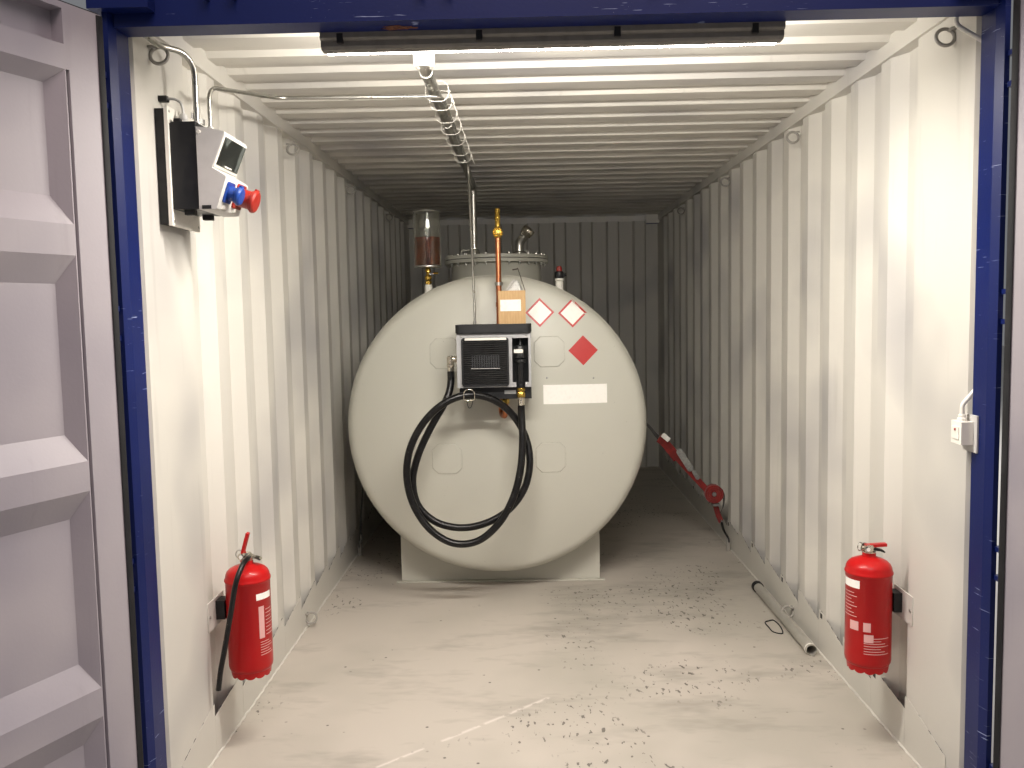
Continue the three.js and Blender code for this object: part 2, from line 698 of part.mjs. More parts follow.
const HOSE_ROUTE = [
  [-463, 1990, 1374.7], [-463, 1990, 1328], [-472, 1975, 1274], [-498, 1950, 1212], [-532, 1930, 1155],
  [-566, 1917, 1096], [-627, 1902, 966], [-656, 1895, 838], [-632, 1892, 721], [-546, 1890, 637],
  [-421, 1890, 606], [-293, 1892, 629], [-181, 1902, 694], [-103, 1914, 800], [-77, 1936, 929],
  [-99, 1958, 1051], [-161, 1948, 1160], [-254, 1910, 1238], [-364, 1880, 1265], [-476, 1860, 1235],
  [-586, 1855, 1140], [-660, 1851, 1004], [-677, 1849, 858], [-643, 1847, 721], [-566, 1846, 607],
  [-460, 1846, 541], [-347, 1848, 546], [-244, 1852, 622], [-169, 1860, 741], [-126, 1880, 880],
  [-111, 1906, 1031], [-114, 1927, 1168], [-114, 1927, 1204.7],
];
add('delivery_hose', 'black', hose(HOSE_ROUTE, HOSE_RADIUS, 58));

// Electrics

const BOARD_FACE = -1134;
const BOX_TOP = 2244;
add('distribution_board', 'white', box(-WALL_FACE + GAP, BOARD_FACE, 285, 505, 1938, 2290));

// The lower front leans in towards its foot, and the sockets stand square to it.
const SOCKETS = [{ y: 346, radius: 28, out: 45 }, { y: 440, radius: 35, out: 62 }];
const SOCKET_FACE = { x: -985, z: 2040, lean: 1.89, inside: 30 };

function distributionBox() {
  const x = BOARD_FACE + GAP;
  const back = [[1985, x], [BOX_TOP, x], [BOX_TOP, -1055], [2228, -1055]];
  const side = [...back, [2212, -970], [2108, -1011], [2082, -971], [1985, -1004]];
  const body = prism('y', side, 292, 498);
  const sockets = SOCKETS.map(({ y, radius, out }) => {
    const { x: faceX, z: faceZ, lean, inside } = SOCKET_FACE;
    const cup = new THREE.CylinderGeometry(radius, radius, out + inside, 16).rotateX(Math.PI / 2);
    cup.translate(0, 0, (out - inside) / 2);
    return cup.applyMatrix4(new THREE.Matrix4().makeRotationY(lean)).translate(faceX, y, faceZ);
  });
  return join(body, ...sockets);
}

add('distribution_box', 'silver', distributionBox());

add('supply_conduit', 'steel', pipe([
  [-1075, 360, BOX_TOP + GAP], [-1075, 360, 2456], [-1140, 270, 2456], [-1140, FRAME_BACK + GAP, 2456],
], 9, 60, 10));

add('dispenser_conduit', 'steel', pipe([
  [-1063, 440, BOX_TOP + GAP], [-1063, 440, 2380], [-960, 860, 2445], [-372, 890, 2445], [-372, 2300, 2445],
  [-341, 2048, 1680], [-341, 2048, PUMP.high + GAP],
], 6.5, 50, 8));

const LAMP = { half: 640, front: FRAME_BACK + GAP, back: 222, low: 2394, high: 2486 };
add('lamp', 'lamp', join(
  box(-LAMP.half, LAMP.half, LAMP.front, LAMP.back, LAMP.low + 24, LAMP.high),
  box(-LAMP.half, LAMP.half, LAMP.front + 14, LAMP.back - 10, LAMP.low, LAMP.low + 25),
));

add('light_switch', 'white', join(
  box(1164, OPENING_HALF - GAP, 92, 168, 1243, 1348),
  box(1129, 1165, 110, 169, 1264, 1330),
  pipe([[1147, 141, 1329], [1147, 141, 1375], [1190, 141, 1425], [1190, 141, 2370], [1106, 141, 2420],
    [1106, 141, HEIGHT - CASTING.high - GAP]], 6.5, 22, 8, 3),
));

// Extinguishers

const CYLINDER = { seat: 420, radius: 75, ridge: 78, neck: 400, valve: 34 };
const BRACKET = { front: 1172, low: 600, high: 700, block: 30 };

// The body has a square shoulder with a seam ridge. The upper lever is a flat bar over the
// valve, and [reach, rise] is its tip as seen from the foot of the valve.
function extinguisherBody(x, y, [reach, rise]) {
  const { seat, radius, ridge, neck, valve } = CYLINDER;
  const profile = [[0, 14], [56, 14], [65, 0], [72, 0], [radius, 10], [radius, 333], [ridge, 336],
    [ridge, 342], [radius, 346], [62, 374], [34, 390], [22, 392], [22, neck + 6], [0, neck + 6]];
  const body = spun('z', x, y, profile.map(([r, z]) => [r, z + seat]), 24);
  const foot = seat + neck;
  const block = box(x - 20, x + 20, y - 18, y + 18, foot, foot + valve);
  const start = new THREE.Vector2(-12, 28);
  const tip = new THREE.Vector2(reach, rise);
  const run = tip.clone().sub(start).normalize();
  const half = new THREE.Vector2(-run.y, run.x).multiplyScalar(5);
  const over = [start.clone().add(half), tip.clone().add(half)];
  const under = [tip.clone().sub(half), start.clone().sub(half)];
  const lever = prism('y', [...over, ...under].map((c) => [foot + c.y, x + c.x]), y - 11, y + 11);
  return join(body, block, lever);
}

// A thin plate on the wall's face, with a block that the cylinder's back rests against.
function extinguisherBracket(x, y, from, to) {
  const { front, low, high, block } = BRACKET;
  const plate = box(front, WALL_FACE - GAP, from, to, low, high);
  const rest = box(Math.abs(x) + CYLINDER.radius + GAP, front + 1, y - block, y + block, low + 20, high - 10);
  const whole = join(plate, rest);
  return x > 0 ? whole : mirrored(whole);
}

const EXTINGUISHERS = [
  { name: 'left_extinguisher', x: -1066, y: 610, lever: [8, 98], plate: [513, 664] },
  { name: 'right_extinguisher', x: 1069, y: 592, lever: [57, 30], plate: [489, 635] },
];

for (const { name, x, y, lever, plate } of EXTINGUISHERS) {
  add(name, 'red', extinguisherBody(x, y, lever));
  add(`${name}_bracket`, 'white', extinguisherBracket(x, y, ...plate));
}

add('left_extinguisher_hose', 'black', hose([
  [-1054, 591.7, 836], [-1054, 576, 836], [-1056, 545, 830], [-1060, 518, 812], [-1066, 500, 786],
  [-1073, 493, 754], [-1083, 491, 700], [-1098, 489, 626], [-1115, 488, 545], [-1131, 489, 475],
  [-1141, 490, 412],
], 9, 24));
add('right_extinguisher_hose', 'black', hose([
  [1073, 610.3, 838], [1073, 624, 838], [1078, 655, 831], [1087, 682, 813], [1098, 700, 787],
  [1109, 707, 752], [1119, 706, 695], [1126, 703, 610], [1127, 701, 510], [1126, 700, 410],
], 9, 24));

// Things left on the floor and on the dispenser

const STOWED = { x: 1124, z: 182.3, near: 1338, far: 2240, radius: 24, wall: 3 };
add('stowed_pipe', 'silver', cut(
  rod('y', STOWED.z, STOWED.x, STOWED.near, STOWED.far, STOWED.radius, 16),
  rod('y', STOWED.z, STOWED.x, STOWED.near - 1, STOWED.far + 1, STOWED.radius - STOWED.wall, 16),
));

add('carton', 'card', cut(
  box(-217, -84, 1935, 2075, PUMP.high + GAP, 1768),
  box(-213, -88, 1939, 2071, PUMP.high + 4, 1770),
));

// The strap runs from an anchor at each wall foot to the tank and over it.
const STRAP = { y: 3000, half: 25, thick: 3, anchor: 1152, ring: 262 };

function tankPoint(degrees, radius) {
  const angle = THREE.MathUtils.degToRad(degrees);
  return [TANK.z + radius * Math.sin(angle), TANK.x + radius * Math.cos(angle)];
}

function lashing() {
  const { y, half, thick, anchor, ring } = STRAP;
  const inner = TANK.radius + GAP;
  const arc = (radius) => {
    const points = [];
    for (let step = 3; step <= 19; step += 1) {
      points.push(tankPoint(step * TANK_STEP, radius));
    }
    return points;
  };
  const under = [[ring, anchor - thick], ...arc(inner), [ring, -anchor + thick]];
  const over = [[ring, anchor], ...arc(inner + thick), [ring, -anchor]].reverse();
  const band = prism('y', [...under, ...over], y - half, y + half);
  const feet = [-1, 1].map((side) => {
    const edges = [side * (anchor - 14), side * (anchor + 14)].sort((a, b) => a - b);
    return box(...edges, y - 12, y + 12, FLOOR_TOP + GAP, ring + 4);
  });
  return join(band, ...feet);
}

add('lashing_strap', 'red', lashing());

// Centre the whole part in X and Y over its base
const TIP_X = LEAF.meet - PIN_X;
const TIP_Y = LEAF.back - PIN_Y;
const DOOR_REACH = PIN_Y + TIP_X * Math.sin(OPEN_ANGLE) + TIP_Y * Math.cos(OPEN_ANGLE);
station.position.y = -(LENGTH + DOOR_REACH) / 2;

export default station;
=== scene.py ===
"""Containerized fuel station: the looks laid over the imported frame.

The shapes are worked out in millimetres in the container's own frame (X = 0 on the centre
line, Y = 0 at the door end, Z = 0 under the corner castings) and brought to the row's frame.
"""

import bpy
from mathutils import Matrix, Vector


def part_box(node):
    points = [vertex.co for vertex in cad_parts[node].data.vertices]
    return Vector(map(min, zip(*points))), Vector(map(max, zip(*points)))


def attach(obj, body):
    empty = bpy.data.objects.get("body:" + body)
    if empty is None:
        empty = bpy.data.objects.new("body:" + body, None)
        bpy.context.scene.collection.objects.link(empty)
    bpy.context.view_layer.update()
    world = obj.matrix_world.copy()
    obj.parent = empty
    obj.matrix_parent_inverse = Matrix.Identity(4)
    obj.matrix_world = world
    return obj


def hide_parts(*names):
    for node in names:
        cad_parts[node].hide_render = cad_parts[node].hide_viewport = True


bl_info = {
    "name": "Containerized fuel station",
    "version": (1, 0, 0),
    "blender": (4, 5, 0),
    "location": "View3D > Sidebar > Fuel station",
    "description": "A steel container with a diesel tank, a dispenser and its electrics",
    "category": "Object",
}

import functools
import math

import bmesh
import bpy
import numpy as np
from mathutils import Matrix

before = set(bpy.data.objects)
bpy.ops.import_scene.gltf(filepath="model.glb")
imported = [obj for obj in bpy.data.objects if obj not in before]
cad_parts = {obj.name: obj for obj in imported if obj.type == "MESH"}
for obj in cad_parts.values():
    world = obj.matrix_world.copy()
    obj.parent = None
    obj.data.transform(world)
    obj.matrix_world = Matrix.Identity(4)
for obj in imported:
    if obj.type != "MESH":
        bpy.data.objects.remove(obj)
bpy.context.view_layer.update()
DOOR_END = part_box("door_post_right")[0].y

SENSOR_WIDTH = 36.0
MM = 0.001
MERGE_DISTANCE = 0.002 * MM

# Sizes in millimetres that several pieces share, the same as in the frame
FLOOR_TOP = 158.0
WALL_FACE = 1176.0
WALL_PITCH, WALL_START, WALL_END = 287.4, 1110.0, 5960.0
HINGE_HEIGHTS = (330, 950, 1650, 2270)
GUIDE_HEIGHTS = (300, 900, 1500, 2100, 2380)
ROD_CAMS = (70, 2496)
OPEN_ANGLE = math.radians(113.0)
PIN = np.array([1207.0, 14.0, 0.0])
TANK_X, TANK_Z, TANK_RADIUS = -250.0, 1061.0, 800.0
TANK_FRONT, TANK_BACK, TANK_DISH, TANK_KNUCKLE = 2310.0, 4800.0, 165.0, 70.0
SADDLE_FRONTS = (2462, 4398)
MANHOLE_X, MANHOLE_Y = -275.0, 3560.0
COVER_TOP, COVER_BOLTS, BOLT_CIRCLE = 2038.0, 28, 325.0
STRAP_Y = 3000.0


# Shapes: each function gives points and faces as arrays, in millimetres


def woven(rows, columns, close_rows=False, close_columns=False):
    """The quads of a grid: corners (i, j), (i+1, j), (i+1, j+1), (i, j+1), wrapping round where it closes."""
    i = np.arange(rows if close_rows else rows - 1)[:, None]
    j = np.arange(columns if close_columns else columns - 1)[None, :]
    below, beside = (i + 1) % rows, (j + 1) % columns
    corners = [i * columns + j, below * columns + j, below * columns + beside, i * columns + beside]
    return np.stack(corners, -1).reshape(-1, 4)


def unit(vectors):
    """Each vector over its own length."""
    return vectors / np.maximum(np.linalg.norm(vectors, axis=-1, keepdims=True), 1e-12)


def axes_of(axis):
    """Three unit vectors: two across the axis, then the axis."""
    w = unit(np.asarray(axis, float))
    u = unit(np.cross([0.0, 0.0, 1.0] if abs(w[2]) < 0.9 else [0.0, 1.0, 0.0], w))
    return u, np.cross(w, u), w


def turns(count):
    """Angles evenly round a whole turn."""
    return np.linspace(0, 2 * np.pi, count, endpoint=False)


def turned(base, axis, profile, sides=48):
    """A profile turned about an axis: point = base + r (u cos t + v sin t) + h w."""
    u, v, w = axes_of(axis)
    r, h = np.asarray(profile, float).T
    t = turns(sides)
    ring = np.cos(t)[:, None] * u + np.sin(t)[:, None] * v
    points = np.asarray(base, float) + r[:, None, None] * ring[None] + h[:, None, None] * w
    return points.reshape(-1, 3), [woven(len(r), sides, False, True)]


def upright(base, profile, sides=48):
    """A profile turned about an upright axis."""
    return turned(base, (0, 0, 1), profile, sides)


def rod(start, end, radius, sides=24, chamfer=1.0):
    """A round bar between two points, its ends chamfered and closed at the axis."""
    start, end = np.asarray(start, float), np.asarray(end, float)
    long = np.linalg.norm(end - start)
    c = min(chamfer, radius / 2, long / 3)
    profile = [(0, 0), (radius - c, 0), (radius, c), (radius, long - c), (radius - c, long), (0, long)]
    return turned(start, end - start, profile, sides)


def pipe_wall(start, end, radius, wall, sides=32):
    """A round tube with a real wall: the outer and the inner line of its section, closed at both rims."""
    start, end = np.asarray(start, float), np.asarray(end, float)
    long = np.linalg.norm(end - start)
    inner = radius - wall
    profile = [(inner, 0), (radius, 0), (radius, long), (inner, long), (inner, 0)]
    return turned(start, end - start, profile, sides)


def slab(low, high):
    """A block between two corners, each corner being one choice of low or high in X, Y and Z."""
    pick = np.array([[0, 0, 0], [1, 0, 0], [1, 1, 0], [0, 1, 0], [0, 0, 1], [1, 0, 1], [1, 1, 1], [0, 1, 1]])
    points = np.where(pick == 1, np.asarray(high, float), np.asarray(low, float))
    faces = [[0, 3, 2, 1], [4, 5, 6, 7], [0, 1, 5, 4], [1, 2, 6, 5], [2, 3, 7, 6], [3, 0, 4, 7]]
    return points, [np.array(faces)]


def plate(outline, axis, start, end):
    """An outline in the two axes after `axis`, carried from start to end: its two faces and its rim."""
    outline = np.asarray(outline, float)
    n = len(outline)
    order = {"x": (1, 2, 0), "y": (2, 0, 1), "z": (0, 1, 2)}[axis]
    points = np.zeros((2, n, 3))
    points[:, :, order[0]] = outline[:, 0]
    points[:, :, order[1]] = outline[:, 1]
    points[0, :, order[2]], points[1, :, order[2]] = start, end
    ring = np.arange(n)
    return points.reshape(-1, 3), [woven(2, n, False, True), ring[None, ::-1], ring[None] + n]


def rounded(width, height, radius, steps=5, centre=(0.0, 0.0)):
    """A rectangle with round corners: each corner's centre plus radius (cos t, sin t)."""
    t = np.linspace(0, np.pi / 2, steps + 1)[None] + (np.arange(4) * np.pi / 2)[:, None]
    across = (width / 2 - radius) * np.array([1, -1, -1, 1])[:, None]
    up = (height / 2 - radius) * np.array([1, 1, -1, -1])[:, None]
    points = np.stack([across + radius * np.cos(t), up + radius * np.sin(t)], -1)
    return points.reshape(-1, 2) + np.asarray(centre)


def circle(radius, sides, turn=0.0):
    """The corners of a regular outline: radius (cos t, sin t)."""
    t = turns(sides) + turn
    return np.stack([radius * np.cos(t), radius * np.sin(t)], -1)


def carried(path, section, closed=False):
    """A section carried along a path: point = p(i) + a side(i) + b up(i), with frames that don't twist."""
    path, section = np.asarray(path, float), np.asarray(section, float)
    step = unit(np.roll(path, -1, 0) - np.roll(path, 1, 0)) if closed else unit(np.gradient(path, axis=0))
    side = np.zeros_like(path)
    side[0] = axes_of(step[0])[0]
    for i in range(1, len(path)):
        side[i] = side[i - 1] - step[i] * (side[i - 1] @ step[i])
    side = unit(side)
    up = np.cross(step, side)
    n = len(section)
    points = path[:, None] + section[None, :, :1] * side[:, None] + section[None, :, 1:] * up[:, None]
    faces = [woven(len(path), n, closed, True)]
    if not closed:
        ring = np.arange(n)
        faces += [ring[None, ::-1], ring[None] + n * (len(path) - 1)]
    return points.reshape(-1, 3), faces


def bent(corners, radius, steps=8):
    """Straight runs with a round bend at each inner corner, as the frame's pipes have."""
    corners = np.asarray(corners, float)
    line = [corners[:1]]
    for before, here, after in zip(corners, corners[1:], corners[2:]):
        a, b = unit(before - here), unit(after - here)
        half = math.acos(np.clip(a @ b, -1, 1)) / 2
        centre = here + unit(a + b) * radius / math.sin(half)
        start = here + a * radius / math.tan(half) - centre
        axis = unit(np.cross(b, a))
        t = np.linspace(0, math.pi - 2 * half, steps + 1)[:, None]
        line.append(centre + start * np.cos(t) + np.cross(axis, start) * np.sin(t))
    line.append(corners[-1:])
    return np.concatenate(line)


def flowing(points, count):
    """The frame's smooth line through the points (a centripetal Catmull-Rom curve), at even parameters."""
    p = np.asarray(points, float)
    p = np.concatenate([[2 * p[0] - p[1]], p, [2 * p[-1] - p[-2]]])
    t = np.linspace(0, len(points) - 1, count)
    i = np.minimum(t.astype(int), len(points) - 2)
    s = (t - i)[:, None]
    d = np.sqrt(np.linalg.norm(np.diff(p, axis=0), axis=1))[:, None]
    d0, d1, d2 = d[i], d[i + 1], d[i + 2]
    p0, p1, p2, p3 = p[i], p[i + 1], p[i + 2], p[i + 3]
    m1 = ((p1 - p0) / d0 - (p2 - p0) / (d0 + d1) + (p2 - p1) / d1) * d1
    m2 = ((p2 - p1) / d1 - (p3 - p1) / (d1 + d2) + (p3 - p2) / d2) * d1
    return p1 + m1 * s + (3 * (p2 - p1) - 2 * m1 - m2) * s**2 + (2 * (p1 - p2) + m1 + m2) * s**3


def way_along(path):
    """How far each point of a path is from its start, along it."""
    return np.concatenate([[0], np.cumsum(np.linalg.norm(np.diff(path, axis=0), axis=1))])


def mirrored(shape):
    """The same shape on the other side of the centre line."""
    points, faces = shape
    return points * [-1, 1, 1], [f[:, ::-1] for f in faces]


def moved(shape, offset, turn=None, about=(0.0, 0.0, 0.0)):
    """A shape turned about a point by a matrix, then moved."""
    points, faces = shape
    about = np.asarray(about, float)
    if turn is not None:
        points = (points - about) @ np.asarray(turn).T + about
    return points + np.asarray(offset, float), faces


def spin(axis, angle):
    """The turning matrix about an axis, by an angle in radians."""
    return np.array(Matrix.Rotation(angle, 3, axis))


# Pieces


def to_row(points):
    """Millimetres in the container's frame to metres in the row's frame."""
    return np.asarray(points, float) * MM + np.array([0, DOOR_END, 0])


def make(name, parts, bevel=0.0, soft=40.0, replaces=(), segments=2, run=None, body="container"):
    """One piece from (shape, material) pairs: its points and faces are put in as whole arrays, doubles are
    merged, each closed shell is turned outwards, edges under `soft` degrees are smooth, and hard edges may
    get a small bevel in millimetres. `run` gives each point its way along the piece, in millimetres. A piece
    whose name ends in _skin takes the place of the node that it is named for."""
    points, corners, sizes, marks, materials = [], [], [], [], []
    count = 0
    for (where, faces), look in parts:
        if look not in materials:
            materials.append(look)
        for block in faces:
            corners.append((block + count).ravel())
            sizes.append(np.full(len(block), block.shape[1]))
            marks.append(np.full(len(block), materials.index(look)))
        points.append(where)
        count += len(where)
    corners, sizes, marks = np.concatenate(corners), np.concatenate(sizes), np.concatenate(marks)
    mesh = bpy.data.meshes.new(name)
    mesh.vertices.add(count)
    mesh.vertices.foreach_set("co", to_row(np.concatenate(points)).ravel())
    mesh.loops.add(len(corners))
    mesh.loops.foreach_set("vertex_index", corners.astype(np.int32))
    mesh.polygons.add(len(sizes))
    mesh.polygons.foreach_set("loop_start", np.concatenate([[0], np.cumsum(sizes)[:-1]]).astype(np.int32))
    mesh.polygons.foreach_set("material_index", marks.astype(np.int32))
    for look in materials:
        mesh.materials.append(look)
    if run is not None:
        ways = mesh.attributes.new("run", "FLOAT", "POINT")
        ways.data.foreach_set("value", np.asarray(run, np.float32) * MM)
    mesh.update(calc_edges=True)
    mesh.validate()
    work = bmesh.new()
    work.from_mesh(mesh)
    bmesh.ops.remove_doubles(work, verts=work.verts, dist=MERGE_DISTANCE)
    bmesh.ops.recalc_face_normals(work, faces=work.faces)
    work.to_mesh(mesh)
    work.free()
    mesh.polygons.foreach_set("use_smooth", np.ones(len(mesh.polygons), bool))
    mesh.set_sharp_from_angle(angle=math.radians(soft))
    piece = bpy.data.objects.new(name, mesh)
    bpy.context.scene.collection.objects.link(piece)
    if bevel:
        edge = piece.modifiers.new("edges", "BEVEL")
        edge.width = bevel * MM
        edge.segments = segments
        edge.limit_method = "ANGLE"
        edge.angle_limit = math.radians(soft)
        edge.harden_normals = True
    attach(piece, body)
    if name.endswith("_skin"):
        replaces = [name[: -len("_skin")]]
    if replaces:
        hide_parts(*replaces)
    return piece


# Materials


def linear(colour):
    """An sRGB hex colour as linear red, green, blue and full alpha."""
    code = colour.lstrip("#")
    parts = [int(code[i : i + 2], 16) / 255 for i in (0, 2, 4)]
    return tuple(c / 12.92 if c <= 0.04045 else ((c + 0.055) / 1.055) ** 2.4 for c in parts) + (1.0,)


def add_node(tree, kind, settings=None, values=None):
    """Adds a node with its settings, then gives each input a value or links a socket to it."""
    node = tree.nodes.new(kind)
    for key, value in (settings or {}).items():
        setattr(node, key, value)
    for key, value in (values or {}).items():
        socket = node.inputs[key]
        if isinstance(value, bpy.types.NodeSocket):
            tree.links.new(value, socket)
        else:
            socket.default_value = value
    return node


class Finish:
    """A material in the making: a base, then layers of colour, roughness and relief over it."""

    def __init__(self, name, colour, roughness, metallic=0.0, **sockets):
        self.material = bpy.data.materials.new(name)
        self.material.use_nodes = True
        self.tree = self.material.node_tree
        self.tree.nodes.clear()
        self.base = linear(colour) if isinstance(colour, str) else tuple(colour)
        self.colour, self.roughness, self.relief = self.base, roughness, None
        values = {key.replace("_", " "): value for key, value in sockets.items()}
        values["Metallic"] = metallic
        self.shader = add_node(self.tree, "ShaderNodeBsdfPrincipled", {}, values)
        self.coordinates = add_node(self.tree, "ShaderNodeTexCoord")

    def spread(self, size, low, high, detail=None, rough=None, stretch=(1, 1, 1), turn=(0, 0, 0),
               kind="ShaderNodeTexNoise", output=0, **settings):
        """Clouds, or another kind of texture, at a real size in millimetres, cut to 0 under `low` and to 1
        over `high`. `detail` and `rough` are how fine the clouds' edges are."""
        scale = [1 / (size * s * MM) for s in stretch]
        place = add_node(self.tree, "ShaderNodeMapping", {}, {
            "Vector": self.coordinates.outputs["Object"], "Scale": scale, "Rotation": turn})
        inputs = {"Vector": place.outputs[0], "Scale": 1.0}
        inputs.update({key: v for key, v in (("Detail", detail), ("Roughness", rough)) if v is not None})
        inputs.update({key: settings.pop(key) for key in list(settings) if key[0].isupper()})
        texture = add_node(self.tree, kind, settings, inputs)
        cut = add_node(self.tree, "ShaderNodeMapRange", {}, {
            "Value": texture.outputs[output], "From Min": low, "From Max": high})
        return cut.outputs[0]

    def along(self, direction, low, high, normal=False):
        """0 to 1 between two places along a direction, in metres, or between two leans of the surface."""
        source = self.coordinates.outputs["Normal" if normal else "Object"]
        reach = add_node(
            self.tree, "ShaderNodeVectorMath", {"operation": "DOT_PRODUCT"}, {0: source, 1: direction})
        cut = add_node(self.tree, "ShaderNodeMapRange", {}, {
            "Value": reach.outputs["Value"], "From Min": low, "From Max": high})
        return cut.outputs[0]

    def line(self, start, end, width):
        """1 on a line on the floor between two places, in metres from the door end, and 0 beside it."""
        (x0, y0), (x1, y1) = start, end
        long = math.hypot(x1 - x0, y1 - y0)
        ahead, across = ((x1 - x0) / long, (y1 - y0) / long, 0), ((y0 - y1) / long, (x1 - x0) / long, 0)
        begin = x0 * ahead[0] + (y0 + DOOR_END) * ahead[1]
        middle = x0 * across[0] + (y0 + DOOR_END) * across[1]
        band = self.both(
            self.along(across, middle - width, middle), self.along(across, middle + width, middle))
        reach = self.both(
            self.along(ahead, begin, begin + width), self.along(ahead, begin + long, begin + long - width))
        return self.both(band, reach)

    def rings(self, pitch):
        """Waves of a pitch in millimetres along a piece, from the run in metres that its mesh carries."""
        run = add_node(self.tree, "ShaderNodeAttribute", {"attribute_name": "run"})
        waves = self.both(run.outputs["Fac"], math.tau / (pitch * MM))
        wave = add_node(self.tree, "ShaderNodeMath", {"operation": "SINE"}, {0: waves})
        cut = add_node(self.tree, "ShaderNodeMapRange", {}, {"Value": wave.outputs[0], "From Min": -1.0})
        return cut.outputs[0]

    def scaled(self, factor):
        """The base colour, darker or lighter."""
        return tuple(c * factor for c in self.base[:3]) + (1.0,)

    def both(self, first, second, operation="MULTIPLY"):
        """Two masks as one."""
        return add_node(
            self.tree, "ShaderNodeMath", {"operation": operation}, {0: first, 1: second}).outputs[0]

    def tint(self, colour, where, share=1.0):
        """Another colour where the mask is 1."""
        mask = self.both(where, share)
        colour = linear(colour) if isinstance(colour, str) else colour
        mix = add_node(
            self.tree, "ShaderNodeMix", {"data_type": "RGBA"}, {0: mask, 6: self.colour, 7: colour})
        self.colour = mix.outputs[2]
        return self

    def polish(self, roughness, where):
        """Another roughness where the mask is 1."""
        mix = add_node(
            self.tree, "ShaderNodeMix", {"data_type": "FLOAT"}, {0: where, 2: self.roughness, 3: roughness})
        self.roughness = mix.outputs[0]
        return self

    def raised(self, height, depth):
        """Relief of a depth in millimetres, over the relief that is there."""
        values = {"Height": height, "Distance": depth * MM, "Strength": 1.0}
        if self.relief is not None:
            values["Normal"] = self.relief
        self.relief = add_node(self.tree, "ShaderNodeBump", {}, values).outputs[0]
        return self

    def done(self):
        """Joins the layers to the shader and gives the material."""
        for name, value in (
                ("Base Color", self.colour), ("Roughness", self.roughness), ("Normal", self.relief)):
            if isinstance(value, bpy.types.NodeSocket):
                self.tree.links.new(value, self.shader.inputs[name])
            elif value is not None:
                self.shader.inputs[name].default_value = value
        output = add_node(self.tree, "ShaderNodeOutputMaterial")
        self.tree.links.new(self.shader.outputs[0], output.inputs[0])
        return self.material


# Finishes: each is named for the real material or for the painted shade that it carries, and its text says
# what that gives the eye


def finish(name, colour, roughness, metallic=0.0, **sockets):
    """Turns a function that lays layers on a Finish into one that gives the material, made only once. The
    colour is a hex code, or a function that reads a setting."""

    def wrap(layers):
        @functools.cache
        @functools.wraps(layers)
        def material():
            f = Finish(name, colour() if callable(colour) else colour, roughness, metallic, **sockets)
            layers(f)
            return f.done()

        return material

    return wrap


def once(maker, *values, **named):
    """A function that gives what the maker makes, made only once."""
    return functools.cache(lambda: maker(*values, **named))


def two_tone(name, outer, inner, direction, limit=0.25):
    """Rolled alkyd enamel on steel, another colour on the side that looks along `direction`: a satin film
    with orange peel, cloudy soiling over half a metre, thin runs of dirt and a few black scuffs."""
    f = Finish(name, outer, 0.4)
    inside = f.along(direction, limit, limit + 0.05, normal=True)
    f.tint(inner, inside)
    f.polish(0.55, inside)
    cloud = f.spread(620, 0.48, 0.72)
    f.tint(f.scaled(0.86), cloud, 0.35)
    runs = f.spread(60, 0.62, 0.8, 3, 0.6, (1, 1, 14))
    f.tint("#4b4740", f.both(runs, inside), 0.16)
    scuffs = f.spread(46, 0.735, 0.76, 4, 0.75, (1, 1, 0.6))
    low = f.along((0, 0, 1), 0.62, 0.16)
    f.tint("#2c2a27", f.both(scuffs, f.both(low, inside)), 0.75)
    f.raised(f.spread(9, 0.2, 0.8), 0.12)
    return f.done()


@finish("blue_alkyd_enamel", lambda: colours().outside, 0.42, Coat_Weight=0.06, Coat_Roughness=0.25,
        Specular_IOR_Level=0.25)
def frame_enamel(f):
    """Alkyd enamel over primer on rolled steel: a deep blue
    gloss, chipped and scratched pale along its edges."""
    cloud = f.spread(420, 0.4, 0.75, 4)
    f.tint(f.scaled(0.62), cloud, 0.6).polish(0.45, cloud)
    worn = f.spread(260, 0.5, 0.56, 3, stretch=(1, 1, 1.6))
    chips = f.spread(13, 0.69, 0.71, 5, 0.7, (1, 1, 0.45))
    f.tint("#9aa3bd", f.both(worn, chips), 0.7).polish(0.7, f.both(worn, chips))
    lines = f.spread(5, 0.68, 0.71, 3, stretch=(22, 22, 1), turn=(0.12, 0.1, 0.0))
    f.tint("#a9b6dc", f.both(worn, lines), 0.75)
    f.raised(f.spread(8, 0.2, 0.8), 0.12)


@finish("deck_paint_grey", lambda: colours().deck, 0.62)
def deck_paint(f):
    """Two-pack deck paint on steel plate: dull grey with boot
    marks, grit, tyre smears and pale drag lines."""
    top = f.along((0, 0, 1), 0.5, 0.6, normal=True)
    cloud = f.spread(700, 0.42, 0.66, 3, 0.55)
    f.tint("#9b988d", cloud, 0.55).polish(0.5, cloud)
    smear = f.spread(330, 0.52, 0.7, 4, 0.7, (1.8, 0.7, 1))
    f.tint("#68655d", smear, 0.36)
    grit = f.spread(70, 0.1, 0.06, kind="ShaderNodeTexVoronoi", Randomness=1.0)
    patches = f.spread(330, 0.5, 0.56, 3)
    f.tint("#34312c", f.both(grit, patches), 0.8)
    flecks = f.spread(17, 0.625, 0.65, 5, stretch=(1, 2.2, 1), turn=(0, 0, 0.5))
    clusters = f.spread(520, 0.55, 0.62)
    f.tint("#3c3933", f.both(flecks, clusters), 0.75)
    for start, end, width in (
            ((-0.413, 0.615), (-0.016, 0.964), 0.012), ((-0.613, 0.444), (-0.461, 0.574), 0.01)):
        f.tint("#e3dcd6", f.both(f.line(start, end, width), smear_breaks(f)), 0.6)
    under = f.both(1.0, top, "SUBTRACT")
    f.tint("#24262b", under).polish(0.8, under)
    f.raised(smear, 0.25).raised(f.spread(6, 0.3, 0.7, 3), 0.15)


def smear_breaks(f):
    """Gaps of a few centimetres that break a drag line up."""
    return f.spread(38, 0.42, 0.5, 4)


